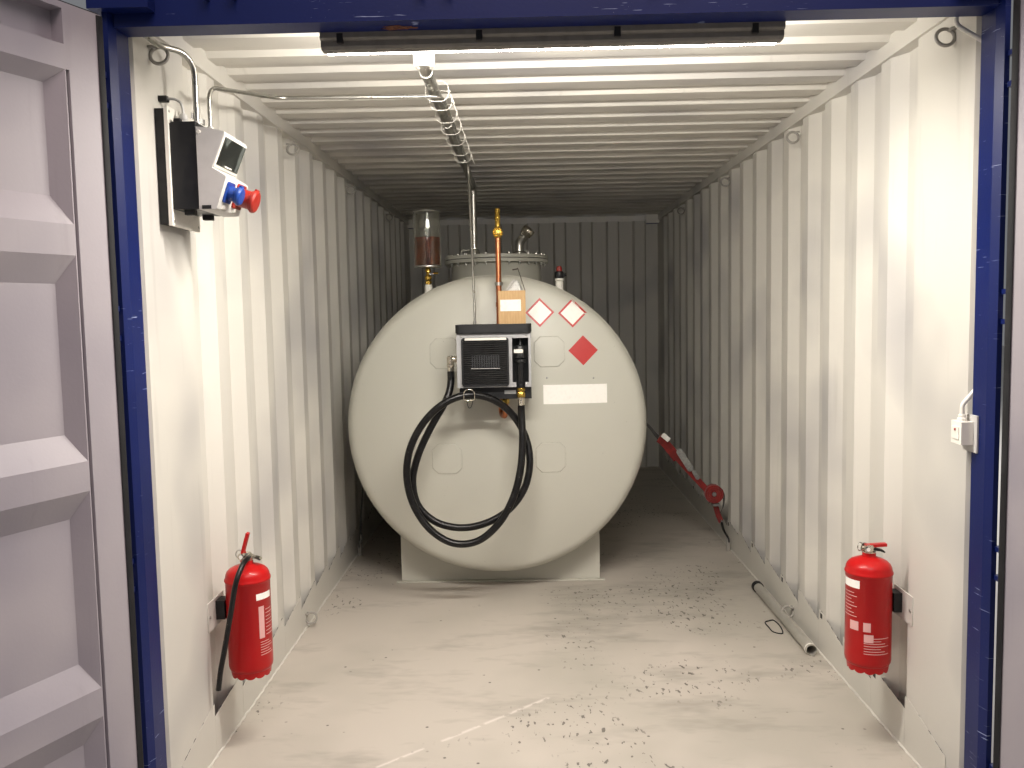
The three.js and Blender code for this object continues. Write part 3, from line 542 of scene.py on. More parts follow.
@finish(
    "polyurethane_topcoat_grey", lambda: chosen("tank").colour, 0.36, Coat_Weight=0.15, Coat_Roughness=0.35)
def tank_topcoat(f):
    """Sprayed polyurethane topcoat: an even satin grey, faint
    cloud of overspray and dust that settles on top."""
    cloud = f.spread(480, 0.42, 0.7, 3)
    f.tint(f.scaled(0.9), cloud, 0.4).polish(0.45, cloud)
    dust = f.both(f.along((0, 0, 1), 0.55, 0.95, normal=True), f.spread(35, 0.3, 0.75, 3))
    f.tint("#a39e90", dust, 0.5).polish(0.75, dust)
    specks = f.spread(13, 0.745, 0.765, 4)
    f.tint("#4a463e", specks, 0.45)
    f.raised(f.spread(7, 0.2, 0.8), 0.08)


@finish("pad_edge_shade", "#85837a", 0.7)
def pad_edge_shade(f):
    """A darker grey for the thin ring round each welded pad: painted shade along the weld's edge, mottled
    paler.
    """
    f.tint("#a09e92", f.spread(22, 0.4, 0.6, 4), 0.7)
    f.raised(f.spread(5, 0.3, 0.7), 0.1)


@finish("zinc_plated_steel", "#bdbcb6", 0.26, 1.0)
def galvanised(f):
    """Zinc-plated, cold-drawn tube: bright, faintly streaked along its length, dull where handled."""
    cloud = f.spread(30, 0.35, 0.7, 6, 0.65)
    f.tint("#8f8e88", cloud, 0.55).polish(0.42, cloud)
    f.raised(f.spread(1.6, 0.3, 0.7), 0.03)


@finish("weathered_zinc", "#b9b6ad", 0.5, 0.45)
def weathered_zinc(f):
    """Zinc-coated tube that has stood outdoors: a pale matt bloom over the metal, greyer in long patches."""
    bloom = f.spread(60, 0.4, 0.7, 6, stretch=(1, 3, 1))
    f.tint("#8e8c85", bloom, 0.5).polish(0.62, bloom)
    f.raised(f.spread(4, 0.3, 0.7), 0.04)


@finish("hot_dip_galvanised_steel", "#a7a8a6", 0.42, 1.0)
def spangled_zinc(f):
    """Hot-dip galvanised steel: dull silver crystals a centimetre across, white bloom in the hollows."""
    spangle = f.spread(11, 0.2, 0.8, kind="ShaderNodeTexVoronoi", output=1, Randomness=1.0)
    f.tint("#7f8183", spangle, 0.6).polish(0.55, spangle)
    bloom = f.spread(70, 0.55, 0.7, 5)
    f.tint("#c9c8c2", bloom, 0.4).polish(0.7, bloom)
    f.raised(spangle, 0.03)


@finish("nickel_plate", "#d8d2c4", 0.12, 1.0)
def nickel(f):
    """Nickel-plated cast fittings: a warm mirror, dulled by finger marks."""
    f.polish(0.32, f.spread(14, 0.4, 0.7, 5))
    f.raised(f.spread(3, 0.3, 0.7), 0.02)


@finish("turned_aluminium", "#c4c4c0", 0.3, 1.0)
def aluminium(f):
    """Turned aluminium: pale grey with fine rings from the tool."""
    f.polish(0.45, f.spread(12, 0.4, 0.7, 5))
    f.raised(f.spread(3.2, 0.2, 0.8, kind="ShaderNodeTexWave", wave_type="RINGS", rings_direction="Z"), 0.02)


@finish("drawn_copper", "#c77f5a", 0.28, 1.0)
def copper(f):
    """Drawn copper tube: salmon pink, browned in patches where the torch and hands have been."""
    brown = f.spread(55, 0.42, 0.7, 6, 0.65, (1, 1, 1.6))
    f.tint("#7c4429", brown, 0.65).polish(0.48, brown)
    f.raised(f.spread(2.5, 0.3, 0.7), 0.02)


@finish("cast_brass", "#c9a54e", 0.24, 1.0)
def brass(f):
    """Turned and cast brass: yellow gold with dull olive in the recesses."""
    dull = f.spread(12, 0.42, 0.72, 6, 0.65)
    f.tint("#7d6328", dull, 0.55).polish(0.45, dull)
    f.raised(f.spread(1.8, 0.3, 0.7, 3), 0.03)


def moulded(name, colour, roughness, spark=0.8, dirt=0.25, coat=0.0):
    """Injection-moulded plastic: an even colour under a spark-eroded grain
    that shows as a fine sparkle, with greasy hand marks. The grain is drawn
    at `spark` millimetres, coarser than the real one, so that it shows."""
    f = Finish(name, colour, roughness, Coat_Weight=coat, Coat_Roughness=0.2)
    marks = f.spread(32, 0.45, 0.72, 5)
    f.tint(f.scaled(0.72), marks, dirt).polish(min(roughness + 0.2, 0.9), marks)
    f.raised(f.spread(spark * 2, 0.25, 0.75), 0.04)
    return f.done()


# Black ABS housing parts, satin with a soft reflection along round edges
black_abs = once(moulded, "black_abs", "#17181a", 0.38)
# Glass-filled black polyamide: duller, with a dry grain
black_nylon = once(moulded, "black_polyamide", "#101112", 0.55)
# Charcoal ABS of the grille's ribs, a little paler than the frame round them
charcoal_abs = once(moulded, "charcoal_abs", "#303134", 0.4)
# White ABS, slightly yellowed and dusty
white_abs = once(moulded, "white_abs", "#e9e6dd", 0.42)
# Light grey ABS shell of the sockets box, cool against the warm wall
grey_abs = once(moulded, "light_grey_abs", "#c2c0bd", 0.45)
# Blue polyamide socket
blue_nylon = once(moulded, "blue_polyamide", "#123a86", 0.35)
# Red polyamide socket, cap and clips
red_nylon = once(moulded, "red_polyamide", "#8f2016", 0.35)


@finish("silver_powder_coat", lambda: chosen("pump").colour, 0.42, 0.35)
def silver_powder(f):
    """Silver powder coat on sheet steel: flat metallic grey
    with a fine leather grain and dirty finger marks."""
    marks = f.spread(60, 0.45, 0.7, 5)
    f.tint("#6f7074", marks, 0.3).polish(0.55, marks)
    f.raised(f.spread(2.4, 0.3, 0.7), 0.06)


@finish("nitrile_rubber", "#08080a", 0.3, Coat_Weight=0.08, Coat_Roughness=0.2, Specular_IOR_Level=0.35)
def rubber(f):
    """Extruded nitrile rubber hose, cured in a fabric wrap: black with a
    waxy gloss, wrap rings and grey dust. The rings follow the hose and are
    drawn 3 mm apart, coarser than the real cloth, so that they show."""
    dust = f.spread(28, 0.5, 0.75, 6, 0.7)
    f.tint("#4a4845", dust, 0.2).polish(0.5, dust)
    specks = f.spread(8, 0.735, 0.75, 3)
    f.tint("#b8b5ae", specks, 0.5)
    f.raised(f.rings(3.0), 0.12)


@finish("epdm_rubber", "#0d0e11", 0.7)
def seal_rubber(f):
    """Extruded EPDM door seal: dead black, dusty at the lip."""
    dust = f.spread(50, 0.5, 0.75, 5, stretch=(1, 1, 3))
    f.tint("#3d3c40", dust, 0.4).polish(0.85, dust)
    f.raised(f.spread(5, 0.3, 0.7, 3), 0.1)


@finish("red_polyester_powder_coat", lambda: chosen("extinguishers").colour, 0.34, Coat_Weight=0.12,
        Coat_Roughness=0.08, Specular_IOR_Level=0.25)
def red_powder(f):
    """Gloss polyester powder coat over a drawn cylinder: a deep red with a wet highlight and light dust."""
    cloud = f.spread(90, 0.45, 0.75, 5)
    f.tint(f.scaled(0.8), cloud, 0.3).polish(0.42, cloud)
    chips = f.spread(7, 0.735, 0.75, 4)
    f.tint("#5a1411", chips, 0.6)
    f.raised(f.spread(5, 0.3, 0.7), 0.08)


def vinyl(name, colour):
    """Printed vinyl film: flat and smooth with a low sheen, lifting nowhere, with dust in fine flecks."""
    f = Finish(name, colour, 0.4, Coat_Weight=0.1, Coat_Roughness=0.3)
    dust = f.spread(16, 0.5, 0.75, 5)
    f.tint(f.scaled(0.8), dust, 0.3).polish(0.55, dust)
    f.raised(f.spread(20, 0.3, 0.7), 0.04)
    return f.done()


# White vinyl film, a little warm
white_vinyl = once(vinyl, "white_vinyl", "#f4f2ec")
# Red vinyl film
red_vinyl = once(vinyl, "red_vinyl", "#ba2f2e")
# Worn pale ink lines on the cylinders, where the instructions are printed
pale_print = once(vinyl, "pale_ink", "#dba8a4")


@finish("clear_acrylic", "#f3f4ee", 0.04, Transmission_Weight=1.0, IOR=1.49)
def acrylic(f):
    """Extruded clear acrylic: nearly no colour, bright rims and a faint film of dust."""
    f.polish(0.16, f.spread(40, 0.5, 0.8, 5))


@finish("dyed_glycol", "#a04a16", 0.05, Transmission_Weight=0.55, IOR=1.38)
def glycol(f):
    """Leak-detection liquid, a glycol mix dyed amber: dark brown in depth, red-brown at the edges."""
    deep = f.spread(60, 0.4, 0.7)
    f.tint("#6e2b0c", deep, 0.5)


@finish("smoked_polycarbonate", "#1c201f", 0.16, Coat_Weight=0.6, Coat_Roughness=0.05)
def smoked_window(f):
    """Smoked polycarbonate flap: dark green-grey, glossy, with paler streaky patches of painted glare."""
    # Paler streaks over the flap: painted glare, a reflection drawn into the colour.
    glare = f.spread(70, 0.52, 0.62, 3, stretch=(1, 0.8, 2))
    f.tint("#737a77", glare, 0.5).polish(0.3, glare)


@finish("kraft_board", "#c9a87c", 0.85)
def card(f):
    """Corrugated board: brown kraft liner with the flutes showing through as soft lines 7 mm apart."""
    fibre = f.spread(9, 0.35, 0.7, 6, stretch=(1, 1, 4))
    f.tint("#a9855a", fibre, 0.4)
    flutes = f.spread(7 * math.tau, 0.1, 0.9, kind="ShaderNodeTexWave", bands_direction="X", Distortion=0.4)
    f.tint("#b4905f", flutes, 0.25)
    f.raised(flutes, 0.2).raised(fibre, 0.1)


@finish("kraft_board_painted_shade", "#4a3d33", 0.8)
def shaded_card(f):
    """Kraft board darkened to a near-black brown: painted shade on the inner face of the carton's upright lid
    flap and its curled tip.
    """
    fibre = f.spread(9, 0.35, 0.7, 6, stretch=(1, 1, 4))
    f.tint("#2c2622", fibre, 0.5)
    f.raised(fibre, 0.15)


@finish("label_paper", "#f0ede6", 0.55)
def paper(f):
    """Coated label paper: bright white, slightly creased."""
    f.tint("#d6d2c8", f.spread(18, 0.45, 0.7, 4), 0.4)
    f.raised(f.spread(9, 0.3, 0.7), 0.1)


@finish("bubble_polyethylene", "#f4f2ee", 0.25, Transmission_Weight=0.2, IOR=1.5)
def bubble_film(f):
    """Air-bubble polyethylene film: milky, with bright blisters a centimetre across."""
    bubbles = f.spread(11, 0.55, 0.1, kind="ShaderNodeTexVoronoi", Randomness=0.15)
    f.tint("#cfcdc9", bubbles, 0.4)
    f.raised(bubbles, 2.5)


def webbing(name, colour, dark):
    """Woven polyester webbing: ribs across the band, drawn 2.4
    mm apart so that they show, and soiled edges."""
    f = Finish(name, colour, 0.7, Sheen_Weight=0.3, Sheen_Roughness=0.4)
    soil = f.spread(34, 0.42, 0.7, 6)
    f.tint(dark, soil, 0.6)
    weave = f.rings(2.4)
    f.tint(f.scaled(0.6), weave, 0.5)
    f.raised(weave, 0.5)
    return f.done()


# The strap's loose red tail and reel
red_webbing = once(webbing, "red_polyester_webbing", "#8a1712", "#3a0c0a")
# The loaded strap, black with grey dust
dark_webbing = once(webbing, "black_polyester_webbing", "#24221f", "#121110")


@finish("opal_polycarbonate", "#f6f1e4", 0.4)
def opal_diffuser(f):
    """Opal polycarbonate cover with the tubes lit behind it: an
    even warm white glow, brighter in the middle."""
    f.shader.inputs["Emission Color"].default_value = linear("#fff8ee")
    f.shader.inputs["Emission Strength"].default_value = 26.0
    f.tint("#e9e2d2", f.spread(40, 0.4, 0.7), 0.3)
    f.raised(f.spread(6, 0.3, 0.7), 0.1)


# Grey polyester housing of the batten lamp, dusty and matt
lamp_housing = once(moulded, "grey_glass_polyester", "#77746d", 0.6, dirt=0.5)


@finish("rust", "#6e4028", 0.9)
def rust(f):
    """Bare steel where the paint has gone: flaking orange-brown scale."""
    flakes = f.spread(9, 0.42, 0.6, 7, 0.7)
    f.tint("#3a241b", flakes, 0.7)
    f.raised(flakes, 0.8)


@finish("wall_foot_painted_shade", "#262421", 0.8)
def gap_shade(f):
    """Ragged and near black, with paler lumps: painted shade in the gaps along the foot plates' tops and in
    their notches.
    """
    lumps = f.spread(12, 0.4, 0.65, 6)
    f.tint("#55514a", lumps, 0.5)
    f.raised(lumps, 1.0)


# Pieces of the container


def dress(look, *nodes):
    """Gives pieces of the frame a finish."""
    for name in nodes:
        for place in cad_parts[name].material_slots:
            place.material = look


def on_leaf(shape, side):
    """A shape drawn on the shut right-hand leaf, brought to the open leaf of a side."""
    sign = 1 if side == "right" else -1
    shape = shape if sign > 0 else mirrored(shape)
    return moved(shape, (0, 0, 0), spin("Z", sign * OPEN_ANGLE), PIN * [sign, 1, 1])


def panel(x0, x1, z0, z1, y0, y1, radius, steps=5):
    """A plate with round corners that looks along Y."""
    outline = rounded(z1 - z0, x1 - x0, radius, steps, ((z0 + z1) / 2, (x0 + x1) / 2))
    return plate(outline, "y", y0, y1)


def hoop(outer, inner, axis, start, end):
    """A frame between two outlines of as many points, with its two faces and two rims."""
    n = len(outer)
    rings = [plate(outline, axis, start, end)[0] for outline in (outer, inner)]
    points = np.concatenate([rings[0][:n], rings[0][n:], rings[1][n:], rings[1][:n]])
    return points, [woven(4, n, True, True)]


def loop(centre, first, second, wire, steps=32, sides=8):
    """A closed wire ring: path = centre + first cos t + second sin t, with a round section."""
    t = turns(steps)[:, None]
    centre, first, second = (np.asarray(v, float) for v in (centre, first, second))
    path = centre + first * np.cos(t) + second * np.sin(t)
    return carried(path, circle(wire, sides), True)


def tube(path, radius, sides=16):
    """A round section carried along a path."""
    return carried(path, circle(radius, sides))


def bolt(centre, axis, radius=8.0, height=6.0):
    """A hexagon head with a chamfered crown: six-sided rings turned about the axis."""
    profile = [(0, 0), (radius, 0), (radius, height * 0.75), (radius * 0.82, height), (0, height)]
    return turned(centre, axis, profile, 6)


class PaintFrame(bpy.types.Operator):
    """Blue enamel on posts, sills, headers and base rails, and grey where the top rails look inwards."""

    bl_idname = "fuel_station.paint_frame"
    bl_label = "Paint the frame"

    def execute(self, context):
        outer, inner = colours().outside, colours().inside
        dress(frame_enamel(), "door_post_right", "door_post_left", "door_sill", "door_header",
              "base_rail_right", "base_rail_left", "end_sill")
        dress(two_tone("rail_enamel_right", outer, inner, (-0.8, 0, -0.6)), "top_rail_right")
        dress(two_tone("rail_enamel_left", outer, inner, (0.8, 0, -0.6)), "top_rail_left")
        dress(two_tone("end_enamel_right", outer, inner, (-0.75, -0.75, 0)), "end_post_right")
        dress(two_tone("end_enamel_left", outer, inner, (0.75, -0.75, 0)), "end_post_left")
        dress(two_tone("end_header_enamel", outer, inner, (0, -0.8, -0.6)), "end_header")
        make("header_rust_patch", [(plate(rust_outline(), "z", 2437.0, 2437.8), rust())])
        return {"FINISHED"}


def rust_outline():
    """A ragged patch under the header: an ellipse whose radius wavers with three sines."""
    t = turns(40)
    waver = 1 + 0.18 * np.sin(3 * t + 1) + 0.12 * np.sin(7 * t) + 0.07 * np.sin(13 * t + 2)
    return np.stack([-418 + 44 * waver * np.cos(t), 104 + 17 * waver * np.sin(t)], -1)


class PaintShell(bpy.types.Operator):
    """The corrugated sheets, grey inside and blue outside, and the deck paint on the floor plate."""

    bl_idname = "fuel_station.paint_shell"
    bl_label = "Paint walls, roof and floor"

    def execute(self, context):
        outer, inner = colours().outside, colours().inside
        sheets = {
            "side_wall_right": (-1, 0, 0),
            "side_wall_left": (1, 0, 0),
            "end_wall": (0, -1, 0),
            "roof": (0, 0, -1),
        }
        for name, direction in sheets.items():
            # The end wall's inner grey is darkened to 0.78: painted shade, the far end getting less light
            # than the side walls.
            shade = 0.78 if name == "end_wall" else 1.0
            dress(two_tone(name + "_enamel", outer, [v * shade for v in inner], direction), name)
        dress(deck_paint(), "floor")
        return {"FINISHED"}


class FitDoors(bpy.types.Operator):
    """Leaf paint, rubber seals on the leaf edges, and lock rods with cams, guides' bolts and handles."""

    bl_idname = "fuel_station.fit_doors"
    bl_label = "Fit the doors"

    def execute(self, context):
        for side, sign in (("right", 1), ("left", -1)):
            inward = (-sign * math.sin(OPEN_ANGLE), math.cos(OPEN_ANGLE), 0)
            leaf = two_tone(f"{side}_leaf_enamel", colours().outside, colours().leaf, inward, -0.3)
            dress(leaf, f"{side}_door")
            self.seal(side)
            for name, x, handle, reach in (("outer", 877, 1120, -330), ("inner", 307, 1000, 330)):
                self.lock_rod(side, name, x, handle, reach)
            self.hinge_caps(side, sign)
        return {"FINISHED"}

    def seal(self, side):
        """A lipped profile round the leaf: a strip on each edge with its lip bent towards the frame."""
        lip = [(1153.4, 47), (1153.4, 98.2), (1138, 98.2), (1138, 101), (1142, 103), (1154, 103), (1158, 99),
               (1163.5, 92), (1164, 84), (1158, 79), (1157, 47)]
        hinge_edge = plate(lip, "z", 181, 2427)
        meeting = plate([(8.6, 60), (8.6, 92), (7, 93), (6.4, 88), (6.8, 62)][::-1], "z", 181, 2427)
        high = slab((12, 62, 2430.3), (1150, 94, 2434.5))
        low = slab((12, 62, 171), (1150, 94, 177.7))
        shapes = [(on_leaf(shape, side), seal_rubber()) for shape in (hinge_edge, meeting, high, low)]
        make(f"{side}_door_seal", shapes, bevel=1.2, body=f"{side}_door")

    def lock_rod(self, side, name, x, handle, reach):
        """A drawn bar with a forked cam at each end, bolted guides and a pressed handle in its catch."""
        parts = [(rod((x, 22, 70), (x, 22, 2540), 17, 32, 2), spangled_zinc())]
        for z in ROD_CAMS:
            cam = plate([(x - 26, 10), (x + 26, 10), (x + 26, 24), (x + 15, 38), (x - 15, 38), (x - 26, 24)],
                        "z", z, z + 44)
            parts.append((cam, spangled_zinc()))
        for z in GUIDE_HEIGHTS:
            parts.append((hoop(circle(23, 24) + [x, 22], circle(17.6, 24) + [x, 22], "z", z - 19, z + 19),
                          black_nylon()))
            for dx in (-26, 26):
                parts.append((bolt((x + dx, 39.4, z), (0, -1, 0), 7, 5), spangled_zinc()))
        end = x + reach
        grip = bent([(x, 15, handle + 16), (x + reach * 0.25, 12, handle + 16),
                     (x + reach * 0.4, 14, handle + 16), (end, 14, handle + 16)], 30)
        parts.append((carried(grip, rounded(9, 30, 4, 3)), spangled_zinc()))
        parts.append((rod((x, 22, handle - 24), (x, 22, handle + 56), 22, 24, 3), spangled_zinc()))
        shapes = [(on_leaf(shape, side), look) for shape, look in parts]
        make(f"{side}_door_{name}_rod_skin", shapes, bevel=1.0, body=f"{side}_door")

    def hinge_caps(self, side, sign):
        """A domed head on each pin, above its lug and below it."""
        parts = []
        for z in HINGE_HEIGHTS:
            for lean in (-1, 1):
                dome = turned((sign * PIN[0], PIN[1], z + lean * 47.2), (0, 0, lean),
                              [(0, 0), (11, 0), (11, 2), (8, 5), (0, 6.5)], 20)
                parts.append((dome, spangled_zinc()))
        make(f"{side}_hinge_pin_heads", parts)


class FitSmallSteel(bpy.types.Operator):
    """Lashing rings under the top rails and at the wall foot, and the cover plates along the foot."""

    bl_idname = "fuel_station.fit_small_steel"
    bl_label = "Fit lashing rings and foot plates"

    def execute(self, context):
        inner = plain_inside()
        for side, sign, places in (
                ("left", -1, (281, 1750, 3090, 4600)), ("right", 1, (290, 1734, 3083, 4600))):
            parts = []
            for y in places:
                parts += self.ring(sign, y, 2432)
            parts += self.ring(sign, 1760, 205)
            make(f"{side}_lashing_rings", parts)
        for side, sign in (("right", 1), ("left", -1)):
            self.foot_plates(side, sign, inner)
        return {"FINISHED"}

    def ring(self, sign, y, z):
        """A forged ring that hangs from a bent staple welded to the wall."""
        x = sign * (WALL_FACE - 2)
        lean = np.array([-sign * 25.0, 3.0, 0.0])
        ring = loop((x - sign * 26, y, z), lean, (0, 6, 25), 5.4)
        staple = tube(bent([(x, y - 13, z + 22), (x - sign * 13, y - 13, z + 22),
                            (x - sign * 13, y + 13, z + 22), (x, y + 13, z + 22)], 6), 4.5, 10)
        # Ring and staple in the darker grey: painted shade.
        return [(ring, shaded_ring_enamel()), (staple, shaded_ring_enamel())]

    def foot_plates(self, side, sign, look):
        """One plate over the foot of each recess, a ragged near-black band of painted shade in the gap over
        its wavering top, and a weld along the floor: x = wall +- 1.6 sin 0.11 y, z = floor + 1.2 sin 0.047 y."""
        parts = []
        for i in range(-3, 16):
            y0 = WALL_START + WALL_PITCH * i
            if y0 + 290 > WALL_END:
                continue
            low, start = FLOOR_TOP + 0.5, max(y0 + 0.5, 180)
            far, near = 286 + 12 * math.sin(2.3 * i), 334 + 10 * math.sin(1.7 * i + 1)
            near_end = [(start, low), (y0 + 286.8, low), (y0 + 286.8, near)]
            outline = near_end + [(y0 + 262, near + 2), (start + 20, far + 4), (start, far)]
            x0, x1 = sorted([sign * (WALL_FACE - 2.6), sign * (WALL_FACE - 0.9)])
            parts.append((plate(outline, "x", x0, x1), look))
            # A near-black ragged band behind each plate's top edge: painted shade of the gap there.
            ragged = self.ragged(y0, start, far, near, low)
            x0, x1 = sorted([sign * (WALL_FACE - 1.7), sign * (WALL_FACE - 0.2)])
            parts.append((plate(ragged, "x", x0, x1), gap_shade()))
            # On every other plate a dark notch near the top corner: painted shade in a gap.
            notch = slab((min(x0, x1) - 1.6, y0 + 244, near - 30), (max(x0, x1), y0 + 268, near - 8))
            if i % 2 == 0:
                parts.append((notch, gap_shade()))
        y = np.linspace(185, 5950, 700)
        weld = [sign * (WALL_FACE - 4) + 1.6 * np.sin(y * 0.11), y, FLOOR_TOP + 1.5 + 1.2 * np.sin(y * 0.047)]
        parts.append((tube(np.stack(weld, -1), 4.6, 8), look))
        make(f"{side}_foot_plates", parts, bevel=0.5, segments=1)

    def ragged(self, y0, start, far, near, low):
        """The outline of the painted shade behind a plate's top: the plate's own, a few millimetres larger,
        wavering with two sines.
        """
        y = np.linspace(start + 6, y0 + 271, 40)
        top = far + (near - far) * (y - y[0]) / (y[-1] - y[0])
        top = top + 1.2 + 3.4 * np.sin(y * 0.031 + far) * np.sin(y * 0.13) + 2.2 * np.sin(y * 0.83 + far)
        line = np.stack([y, top], -1)
        return np.concatenate([[[y[0], low + 60], [y[-1], low + 60]], line[::-1]])


@functools.cache
def shaded_ring_enamel():
    """The inside enamel in a darker grey on forged rings, their staples and the strap's wall lugs: painted
    shade, as these are lit less than the wall.
    """
    return two_tone("ring_enamel_painted_shade", linear("#96938c"), linear("#96938c"), (0, 0, 1))


@functools.cache
def plain_inside():
    """The inside enamel on small welded steel."""
    return two_tone("inside_enamel", colours().inside, colours().inside, (0, 0, 1))


# Tank


def head_rise(r):
    """How far a dished end stands out at a distance from its
    axis: a crown sphere, then the knuckle's torus."""
    run = TANK_RADIUS - TANK_KNUCKLE
    crown = (TANK_DISH**2 - TANK_KNUCKLE**2 + run**2) / (2 * (TANK_DISH - TANK_KNUCKLE))
    edge = crown * run / (crown - TANK_KNUCKLE)
    cap = TANK_DISH - crown + np.sqrt(crown**2 - np.minimum(r, edge) ** 2)
    roll = np.sqrt(np.maximum(TANK_KNUCKLE**2 - (np.maximum(r, run) - run) ** 2, 0))
    return np.where(r < edge, cap, roll)


def head_profile(wall, steps=40):
    """Radius and height of a dished shell: out along the outer
    face, in along the inner one, closed on itself."""
    s = np.linspace(0, 1, steps)
    r = TANK_RADIUS * np.sin(s * np.pi / 2)
    outer = np.stack([r, head_rise(r)], -1)
    inner = np.stack([r[:-1] * (1 - wall / TANK_RADIUS), head_rise(r[:-1]) - wall], -1)[::-1]
    rim = [(TANK_RADIUS - wall, 0)]
    return np.concatenate([outer, rim, inner, outer[:1]])


def on_head(x, z, lift=0.0):
    """The Y of the front end's outer face at a place, lifted off it towards the door."""
    r = np.hypot(np.asarray(x) - TANK_X, np.asarray(z) - TANK_Z)
    return TANK_FRONT - head_rise(r) - lift


def patch(outline, lift, thick, rings=6, per_side=8):
    """A thin plate that follows the front end: its outline shrunk to the centre in rings, front and back."""
    dense = filled(outline, per_side)
    centre = dense.mean(0)
    s = np.linspace(0, 1, rings)[:, None, None]
    flat = (centre + (dense - centre) * s).reshape(-1, 2)
    n = len(dense)
    faces = []
    points = []
    for k, off in enumerate((lift + thick, lift)):
        y = on_head(flat[:, 0], flat[:, 1], off)
        points.append(np.stack([flat[:, 0], y, flat[:, 1]], -1))
        faces.append(woven(rings, n, False, True) + k * rings * n)
    rim = np.arange(n) + (rings - 1) * n
    other = rim + rings * n
    faces.append(np.stack([rim, np.roll(rim, -1), np.roll(other, -1), other], -1))
    return np.concatenate(points), faces


def bead(path, radius=5.0):
    """A weld bead along a closed path: a round section whose size ripples as the torch moved."""
    path = np.asarray(path, float)
    points, faces = carried(path, circle(radius, 8), True)
    ripple = 1 + 0.12 * np.sin(np.arange(len(path)) * 2.1)[:, None, None]
    shaped = path[:, None] + (points.reshape(len(path), 8, 3) - path[:, None]) * ripple
    return shaped.reshape(-1, 3), faces


def filled(outline, per_side):
    """An outline with more points: each side cut into equal steps."""
    outline = np.asarray(outline, float)
    t = np.linspace(0, 1, per_side, endpoint=False)[None, :, None]
    return (outline[:, None] * (1 - t) + np.roll(outline, -1, 0)[:, None] * t).reshape(-1, 2)


def ring_path(centre, radius, axis, steps=180):
    """Points of a circle round an axis."""
    u, v, w = axes_of(axis)
    t = turns(steps)[:, None]
    return np.asarray(centre, float) + radius * (np.cos(t) * u + np.sin(t) * v)


class BuildTank(bpy.types.Operator):
    """The welded shell with its dished ends, seams and eight-cornered pads, on two painted saddles."""

    bl_idname = "fuel_station.build_tank"
    bl_label = "Build the tank"

    def execute(self, context):
        paint = tank_topcoat()
        sides = chosen("tank").sides
        shell = pipe_wall((TANK_X, TANK_FRONT, TANK_Z), (TANK_X, TANK_BACK, TANK_Z), TANK_RADIUS, 6, sides)
        seams = []
        for y in (TANK_FRONT + 3, 3140, 3970, TANK_BACK - 3):
            seams.append((bead(ring_path((TANK_X, y, TANK_Z), TANK_RADIUS - 1, (0, 1, 0)), 4), paint))
        make("tank_shell_skin", [(shell, paint)] + seams)
        for name, y, axis in (("front", TANK_FRONT - 0.3, (0, -1, 0)), ("rear", TANK_BACK + 0.3, (0, 1, 0))):
            head = turned((TANK_X, y, TANK_Z), axis, head_profile(6), sides)
            make(f"tank_{name}_head_skin", [(head, paint)])
        self.pads(paint)
        dress(paint, "tank_front_saddle", "tank_rear_saddle")
        self.saddle_welds(paint)
        return {"FINISHED"}

    def pads(self, paint):
        """Four doubling plates on the front end, each a square with its corners cut off, welded all round."""
        parts = []
        octagon = rounded(150, 150, 30, 1)
        for x in (-508, 34):
            for z in (904, 1455):
                outline = octagon + [x, z]
                # A thin ring a little larger than the pad, in a darker grey: painted shade at the weld's
                # edge.
                parts.append((patch(octagon * 1.055 + [x, z], 0.1, 0.3), pad_edge_shade()))
                parts.append((patch(outline, 0.5, 4.2), paint))
                line = filled(outline, 10)
                y = on_head(line[:, 0], line[:, 1], 1.0)
                parts.append((bead(np.stack([line[:, 0], y, line[:, 1]], -1), 3.4), paint))
        for x, z in ((20, 1320), (264, 1313)):
            parts.append((turned((x, float(on_head(x, z, 0)) + 1, z), (0, -1, 0),
                                 [(0, 0), (5, 0), (5, 2), (3, 4), (0, 4.5)], 16), spangled_zinc()))
        make("tank_front_pads", parts)

    def saddle_welds(self, paint):
        """Beads where the saddles meet the shell, and a foot flange of flat bar on the floor."""
        parts = []
        for y0 in SADDLE_FRONTS:
            for y in (y0 - 2, y0 + 252):
                t = np.linspace(-2.38, -0.765, 60)
                path = np.stack([
                    TANK_X + 801 * np.cos(t), np.full(60, float(y)), TANK_Z + 801 * np.sin(t)], -1)
                parts.append((tube(path, 3.5, 8), paint))
            low = FLOOR_TOP + 0.5
            for a, b in (((-835, y0 - 26), (333, y0 - 0.3)), ((-835, y0 + 250.3), (333, y0 + 276))):
                parts.append((slab((*a, low), (*b, low + 8)), paint))
        make("saddle_welds", parts, bevel=1.0)


class FitSigns(bpy.types.Operator):
    """Blank vinyl signs on the front end: two white diamonds
    with red borders, a red one and a white plate."""

    bl_idname = "fuel_station.fit_signs"
    bl_label = "Fit the blank signs"

    def execute(self, context):
        diamond = np.array([(1, 0), (0, 1), (-1, 0), (0, -1)], float)
        parts = []
        for x, z in ((-11, 1659), (160, 1653)):
            parts.append((patch(diamond * 76 + [x, z], 0.15, 0.35), red_vinyl()))
            parts.append((patch(diamond * 62 + [x, z], 0.55, 0.3), white_vinyl()))
        parts.append((patch(diamond * 78 + [212, 1458], 0.15, 0.35), red_vinyl()))
        plate_corners = np.array([(334, 1182), (334, 1281), (0, 1284), (0, 1184)], float)
        parts.append((patch(plate_corners, 0.15, 0.6), white_vinyl()))
        make("blank_signs", parts)
        return {"FINISHED"}


